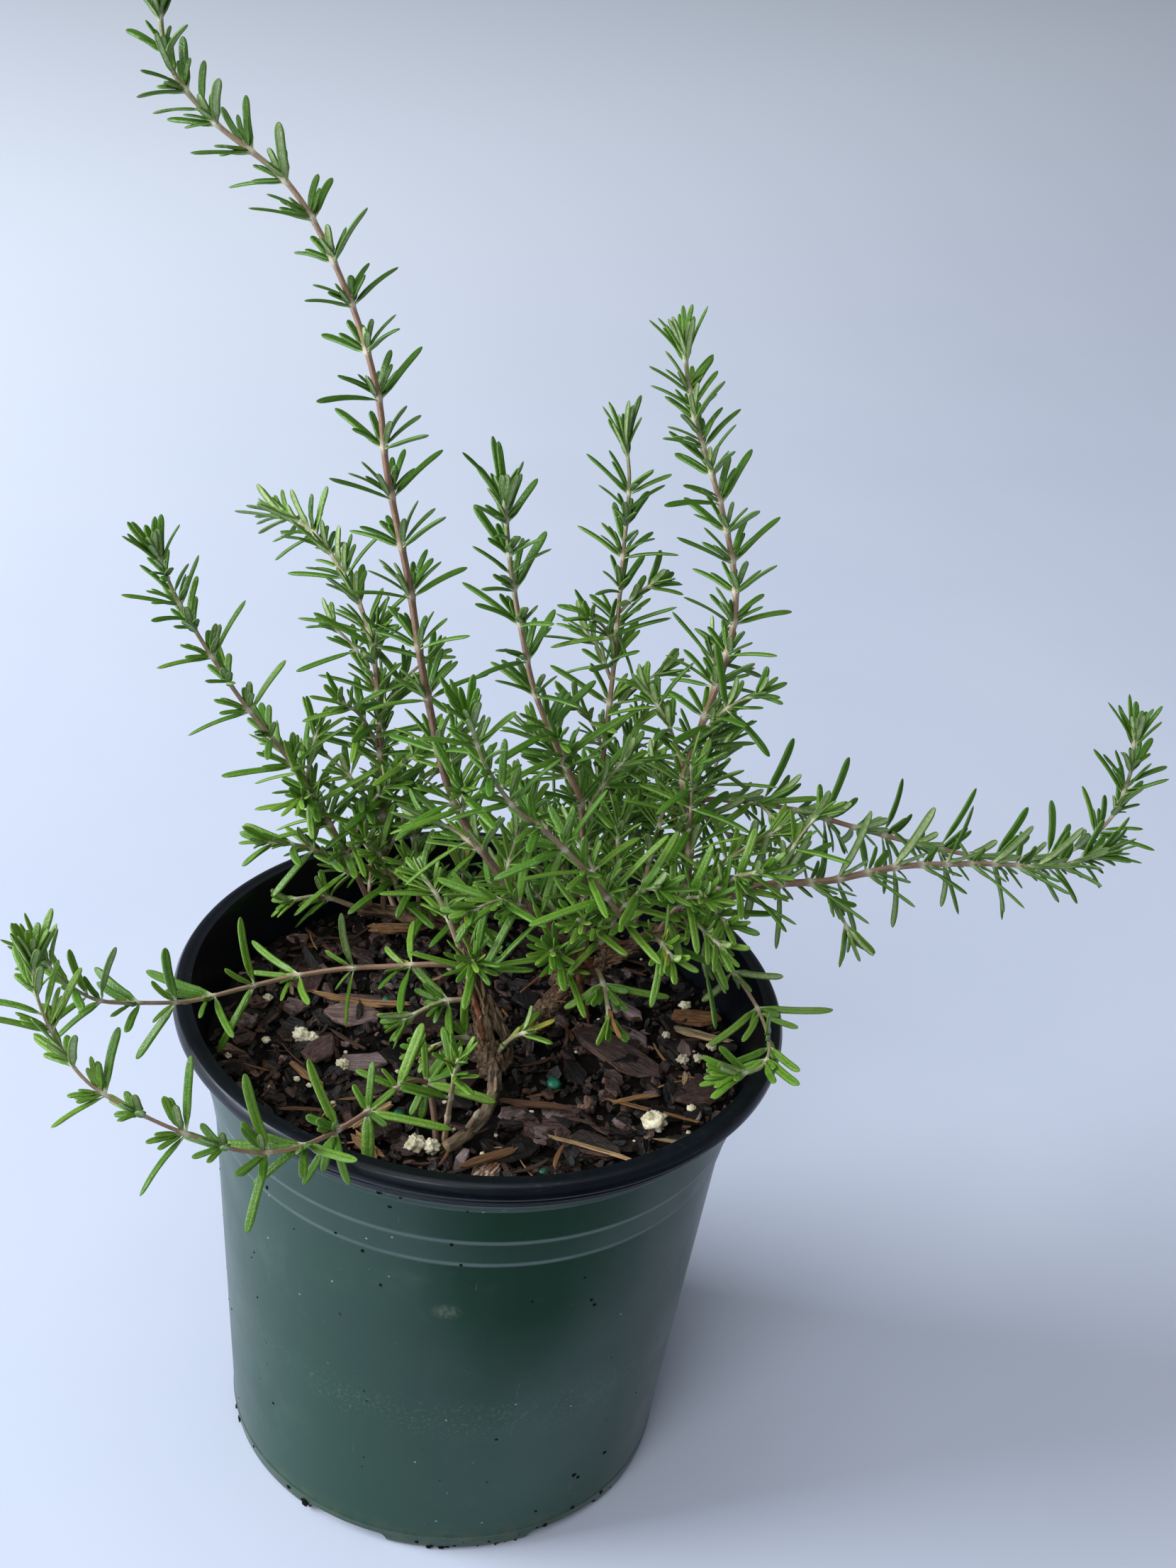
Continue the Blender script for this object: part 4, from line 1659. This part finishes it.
def leaf_frames(pose, t):
    """A leaf's middle line, bent and turned to the light, and the ways across it and up from it."""
    keys, length, upper, along = pose["keys"], pose["length"], pose["upper"], pose["along"]
    bend = LEAF["bend"] * (1 + spread(0.55, *keys, 11))
    line = pose["root"] - along * 0.35 + np.outer(t * length, along) - np.outer(bend * length * t ** 2, upper)
    line += np.outer(spread(0.05, *keys, 12) * length * t ** 2, np.cross(along, upper))
    heading = unit_rows(np.gradient(line, t, axis=0))
    level = np.array([0.0, 0.0, 1.0]) - along * along[2]
    to_light = math.atan2(np.cross(upper, level) @ along, upper @ level)
    twist = (np.clip(TURN_TO_LIGHT * to_light, -1.2, 1.2) * smooth_step(0.0, 0.4, t)
             + spread(0.4, *keys, 13) * t)[:, None]
    up = unit_rows(upper - heading * (heading @ upper)[:, None])
    across = np.cross(heading, up)
    return line, across * np.cos(twist) - up * np.sin(twist), up * np.cos(twist) + across * np.sin(twist)


def leaf_half_sizes(pose, t):
    """Half a leaf's width along it, narrow at the stalk and blunt at the tip, and half its thickness."""
    half = 0.5 * pose["width"] * LEAF_FULLNESS * (1 + spread(0.12, *pose["keys"], 14))
    blunt = np.sqrt(np.clip(1 - np.clip((t - 0.76) / 0.243, 0, 1) ** 2.4, 0.0, 1))
    wide = half * (0.4 + 0.6 * smooth_step(0.0, 0.24, t)) * np.maximum(blunt, 0.12)
    return wide, np.maximum(wide, 0.32 * half) * np.where(t < 0.97, 1.0, 0.6)


def add_leaf(shells, stem, pose):
    keys = pose["keys"]
    stretch, longer, wider = LARGE_LEAVES.get(stem["name"], (0, 1, 1))
    if keys[3] != SHOWN_KIND and pose["along_stem"] <= stretch:
        pose = {**pose, "length": longer * pose["length"], "width": wider * pose["width"]}
    length = pose["length"]
    long_leaf = length > LONG_LEAF
    t = LONG_STEPS if long_leaf else SHORT_STEPS
    line, across, up = leaf_frames(pose, t)
    wide, thick = leaf_half_sizes(pose, t)
    x, y = LEAF_SECTION.T
    rings = (line[:, None] + across[:, None] * (wide[:, None] * x)[..., None]
             + up[:, None] * (thick[:, None] * y)[..., None])
    young = smooth_step(0.55, 1.0, pose["along_stem"] / stem["curve"].length)
    high = smooth_step(*DARK_FROM, pose["root"][2])
    shade = (mix(0.62, 0.16, high) + 0.12 * young + spread(0.28, *keys, 15) - 0.05 * (not long_leaf)
             + STEM_SHADE.get(stem["name"], 0.0))
    n, m = len(t), len(LEAF_SECTION)
    shells.add(*loft(rings), across=by_side(x, n), reach=by_ring(t, m, 0, 1), under=by_side(UNDERSIDE, n),
               shade=np.clip(shade, 0, 1), dry=dryness(pose, keys),
               run=by_ring(t * length, m, 0, length) + 31 * draw(*keys, 16), ripe=0.0, felt=0.0, turned=0.0)


# The CAD stems are stouter than the real ones, so that their leaves hold on.
CORE_SLIMNESS = {"stem_tall_left": 0.8, "stem_trailing_left": 0.7, "stem_trailing_front": 0.66,
                 "stem_over_rim": 0.7}
OTHER_SLIMNESS = 0.82


def add_core(shells, stem, end):
    """The stem itself: square with rounded corners, swollen and felted at each leaf pair."""
    curve = stem["curve"]
    sides, step, ripening = (16, 1.0, 62) if stem["axil"] else (12, 1.2, 30)
    along = np.linspace(0, end, int(end / step) + 1)
    points, tangents = curve.at(along), curve.tangent(along)
    ring_along, _, _, ring_normals = stem["ring_frames"]
    normals = np.stack([np.interp(along, ring_along, ring_normals[:, i]) for i in range(3)], 1)
    normals = unit_rows(normals - tangents * np.einsum("ij,ij->i", normals, tangents)[:, None])
    angles = angles_round(sides)
    nodes = np.array([at for at, slots in stem["rings"] if kind_at(slots) in (LONG_KIND, TIP_KIND)])
    near = np.exp(-(((along[:, None] - nodes - 0.3) / 1.0) ** 2)).max(1)
    radius = stem_radius(stem, along) * CORE_SLIMNESS.get(stem["name"], OTHER_SLIMNESS)
    radius = radius * (1 + 0.3 * near) * (1 - 0.45 * smooth_step(end - 2.5, end, along))
    ripe = np.clip((curve.length - along) / (3.2 * ripening), 0, 1) ** 0.8
    bark = smooth_step(0.75, 1.0, ripe) * 0.08
    wobble = np.array([[noise.noise(Vector((0.25 * s, math.cos(a), math.sin(a) + stem["owner"])))
                        for a in angles] for s in along])
    radii = radius[:, None] * (0.86 - 0.13 * np.cos(4 * angles)) * (1 + (0.04 + bark[:, None]) * wobble)
    shells.add(*loft(tube_rings(points, tangents, normals, radii, angles)), 1, across=0.0, reach=0.0,
               under=0.0, shade=0.0, dry=0.0, run=by_ring(along, sides, 0, end),
               ripe=by_ring(ripe, sides, 1, 0), felt=by_ring(near, sides),
               turned=by_side(2.2 * np.abs(angles - math.pi), len(along)))


# Side shoots too small for the CAD model. Each host has them from and to a length along it.
BUSHY_STEMS = {
    "stem_tall_left": (8, 70), "stem_left": (4, 60), "stem_back_left": (4, 84), "stem_middle": (6, 62),
    "stem_front": (6, 34), "stem_back": (4, 66), "stem_tall_right": (4, 62), "stem_right_front": (6, 34),
    "stem_right_back": (6, 52),
}
BUSHY_LIMBS = {"left_limb": (50, 92), "bark_limb": (66, 100), "back_limb": (10, 66)}
SPRIG = {"step": 8.0, "length": (32, 16), "lift": 0.95, "rise": 0.3, "first_owner": 200}
SPRIG_SHAPE = {"radius": (0.75, 0.5), "spacing": (7.6, 6.4), "bare": 4.0, "leaf": 18.5, "axil": False,
               "sprig": True}


def sprig_routes():
    """Where the sprigs leave their hosts: host's name, foot and tip."""
    hosts = [(name, Route(STEMS[name][3]), STEMS[name][0][0], span) for name, span in BUSHY_STEMS.items()]
    hosts += [(name, Route(LIMBS[name]), 2.0, span) for name, span in BUSHY_LIMBS.items()]
    for n, (name, curve, radius, (start, end)) in enumerate(hosts):
        count = int((end - start) / SPRIG["step"])
        along = np.linspace(start, min(end, curve.length - 2), count)
        points, tangents, normals = curve.frames(along, n)
        for i in range(count):
            angle = 2.4 * i + spread(0.5, n, i, 31)
            outward = normals[i] * math.cos(angle) + np.cross(tangents[i], normals[i]) * math.sin(angle)
            lift = SPRIG["lift"] + spread(0.25, n, i, 32)
            way = unit(outward * math.sin(lift) + tangents[i] * math.cos(lift)
                       + np.array([0, 0, SPRIG["rise"]]))
            length = mix(*SPRIG["length"], i / max(1, count - 1)) * (1 + spread(0.2, n, i, 33))
            foot = points[i] + outward * 0.4 * radius
            yield name, foot, foot + way * length


# How far back the tip of a sprig may reach, so that its leaves stay inside the CAD model's box.
SPRIG_BACK_LIMIT = CAD_BOX[1][1] / MM - 8


def sprig_is_free(sprig):
    """Whether a sprig's line, past its foot, runs clear of the pot and of other stems."""
    line = sprig["curve"].at(sprig["curve"].length * np.linspace(0.3, 1, 4))
    if not clear_of_pot(line) or line[-1][1] > SPRIG_BACK_LIMIT:
        return False
    stems = ~OBSTACLES.is_leaf[:OBSTACLES.count]
    for a, b in zip(line, line[1:]):
        if (OBSTACLES.distances(a, b) < OBSTACLES.radius[:OBSTACLES.count] + 1.0)[stems].any():
            return False
    return True


def make_leafy_piece(name, stems, leaf, stem_material):
    shells = Shells()
    for stem in stems:
        end = TRIMMED.get(stem["name"], 1.0) * stem["curve"].length
        add_core(shells, stem, end)
        for pose in stem["leaves"]:
            covers_loop = stem["name"].startswith("shoot") and in_open_zone(pose, LOOP_REACH)
            if pose["along_stem"] <= end and not covers_loop:
                add_leaf(shells, stem, pose)
    piece = shells.make(name, [leaf, stem_material])
    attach(piece, "root")
    return piece


def middle_line(curve, count):
    return curve.at(np.linspace(0, curve.length, count))


def make_stems(leaf, stem_material):
    stems = all_stems()
    for route in LIMBS.values():
        OBSTACLES.add(CROWN_OWNER, middle_line(Route(route), LINE_POINTS), LIMB_ROOM)
    for stem in stems:
        OBSTACLES.add(stem["owner"], middle_line(stem["curve"], LINE_POINTS), stem["radius"][0])
    for stem in stems:
        grow_leaves(stem)
    sprigs = {}
    for owner, (host, foot, tip) in enumerate(sprig_routes(), SPRIG["first_owner"]):
        sprig = new_stem("sprig", owner, shoot_route(foot, tip), SPRIG_SHAPE)
        if sprig_is_free(sprig):
            OBSTACLES.add(owner, middle_line(sprig["curve"], SPRIG_LINE_POINTS), SPRIG_ROOM)
            grow_leaves(sprig, loose=True)
            sprigs.setdefault(host, []).append(sprig)
    for stem in [*stems, *(sprig for group in sprigs.values() for sprig in group)]:
        grow_bunches(stem)
        if stem["axil"]:
            grow_between(stem)
        if stem["name"] in SHOWN_WHORLS:
            grow_shown_whorls(stem)
    for stem in stems:
        piece = make_leafy_piece(f"leafy_{stem['name']}", [stem], leaf, stem_material)
        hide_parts(stem["name"])
    for host, group in sprigs.items():
        make_leafy_piece(f"sprigs_on_{host}", group, leaf, stem_material)


# ---- camera, light and floor ----------------------------------------------------------------

PHOTO_LONG_SIDE = 2212
CAMERA = {"target": (22.6, 0.0, 219.8), "distance": 614.9, "elevation": 30.13, "roll": 6.73,
          "focal_pixels": 3322, "sensor": 36.0}


def add_camera():
    camera = add_object("camera", bpy.data.cameras.new("camera"))
    elevation, roll = math.radians(CAMERA["elevation"]), math.radians(CAMERA["roll"])
    forward = Vector((0, math.cos(elevation), -math.sin(elevation)))
    level, upright = Vector((1, 0, 0)), Vector((0, math.sin(elevation), math.cos(elevation)))
    right = level * math.cos(roll) + upright * math.sin(roll)
    up = upright * math.cos(roll) - level * math.sin(roll)
    place = (Vector(CAMERA["target"]) - forward * CAMERA["distance"]) * MM
    camera.matrix_world = Matrix.Translation(place) @ Matrix((right, up, -forward)).transposed().to_4x4()
    camera.data.sensor_width = CAMERA["sensor"]
    camera.data.lens = CAMERA["focal_pixels"] / PHOTO_LONG_SIDE * CAMERA["sensor"]
    camera.data.clip_start, camera.data.clip_end = 0.05, 20
    bpy.context.scene.camera = camera


def add_area_light(name, place, target, size, power, colour):
    lamp = bpy.data.lights.new(name, "AREA")
    lamp.shape = "SQUARE"
    lamp.size, lamp.energy, lamp.color = size * MM, power, colour
    holder = add_object(name, lamp)
    way = Vector(target) - Vector(place)
    holder.location = Vector(place) * MM
    holder.rotation_euler = way.to_track_quat("-Z", "Y").to_euler()


# A dark card on the floor in front, seen only in reflections, as the table's edge was: its corners.
DARK_CARD = [(-700, -560, 1), (350, 70, 1), (1200, -1000, 1), (-700, -1500, 1)]
HALF_FLOOR = 3000
FLOOR = [(-HALF_FLOOR, -HALF_FLOOR, 0), (HALF_FLOOR, -HALF_FLOOR, 0), (HALF_FLOOR, HALF_FLOOR, 0),
         (-HALF_FLOOR, HALF_FLOOR, 0)]
# Lamps: place, target, size, power and colour.
LAMPS = {
    "window": ((-2200, -350, 1200), (0, 0, 120), 1400, 86, (0.98, 0.99, 1.0)),
    "overhead": ((-200, -300, 3200), (0, 0, 100), 2100, 26, (1.0, 0.99, 0.97)),
    "front": ((-800, -2300, 2100), (0, 0, 150), 1400, 39, (1.0, 0.99, 0.97)),
}
AMBIENT = {"Color": (0.92, 0.96, 1.0, 1.0), "Strength": 0.17}


def add_flat(name, corners, material):
    mesh = bpy.data.meshes.new(name)
    mesh.from_pydata([Vector(corner) * MM for corner in corners], [], [(0, 1, 2, 3)])
    mesh.materials.append(material)
    flat = add_object(name, mesh)
    flat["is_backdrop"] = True
    return flat


def dark_card_finish():
    f = Finish("dark_card")
    return f.set(Base_Color=f.ramp(f.noise(4.0), (0.3, srgb(4, 4, 4)), (0.7, srgb(8, 8, 8))), Roughness=1.0)


def floor_finish():
    """Pale blue-grey, paler towards the far left."""
    f = Finish("pale_floor")
    colour = f.ramp(f.noise(6.0, 4.0), (0.3, srgb(196, 207, 230)), (0.7, srgb(201, 211, 233)))
    x, y = f.split(f.place)[:2]
    colour = f.blend(f.between(f.minus(f.times(y, 0.9), x), 0.3, 1.5), colour, srgb(228, 238, 255))
    return f.set(Base_Color=colour, Roughness=0.75, Specular_IOR_Level=0.12,
                 Normal=f.bump(f.noise(300.0, 3.0), 0.1, 0.3))


def add_studio():
    add_flat("floor", FLOOR, floor_finish())
    world = bpy.data.worlds.new("studio")
    world.use_nodes = True
    for name, value in AMBIENT.items():
        world.node_tree.nodes["Background"].inputs[name].default_value = value
    bpy.context.scene.world = world
    for name, lamp in LAMPS.items():
        add_area_light(name, *lamp)
    card = add_flat("dark_card", DARK_CARD, dark_card_finish())
    card.visible_camera = card.visible_diffuse = card.visible_shadow = card.visible_transmission = False
    bpy.context.scene.view_settings.view_transform = "Standard"


# ---- assembly -------------------------------------------------------------------------------

add_camera()

pot = make_pot(pot_green_finish(), pot_black_finish())
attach(pot, "root")
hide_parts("pot")

soil = make_soil(soil_finish())
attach(soil, "root")
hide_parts("potting_soil")

crumbs = make_crumbs(soil_finish())
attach(crumbs, "root")

loose_pieces = [
    make_chips(chip_finish()),
    make_slivers(sliver_finish()),
    make_lumps("perlite", SHOWN_PERLITE, 40, (0.7, 1.7), 0.72, 0.42, SCENE_SEED + 5, perlite_finish(), 18),
    make_lumps("fertiliser_prills", SHOWN_PRILLS, 2, (2.0, 2.4), 0.66, 0.1, SCENE_SEED + 6,
               prill_finish(), 11),
]
for piece in loose_pieces:
    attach(piece, "root")

crown = make_crown(bark_finish())
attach(crown, "root")
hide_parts("woody_crown")

twigs = make_dead_twigs(dead_twig_finish())
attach(twigs, "root")

make_stems(leaf_finish(), stem_finish())
add_studio()

boxes = {"cad": CAD_BOX, "visual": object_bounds()}
{name: [list(corner) for corner in box] for name, box in boxes.items()}
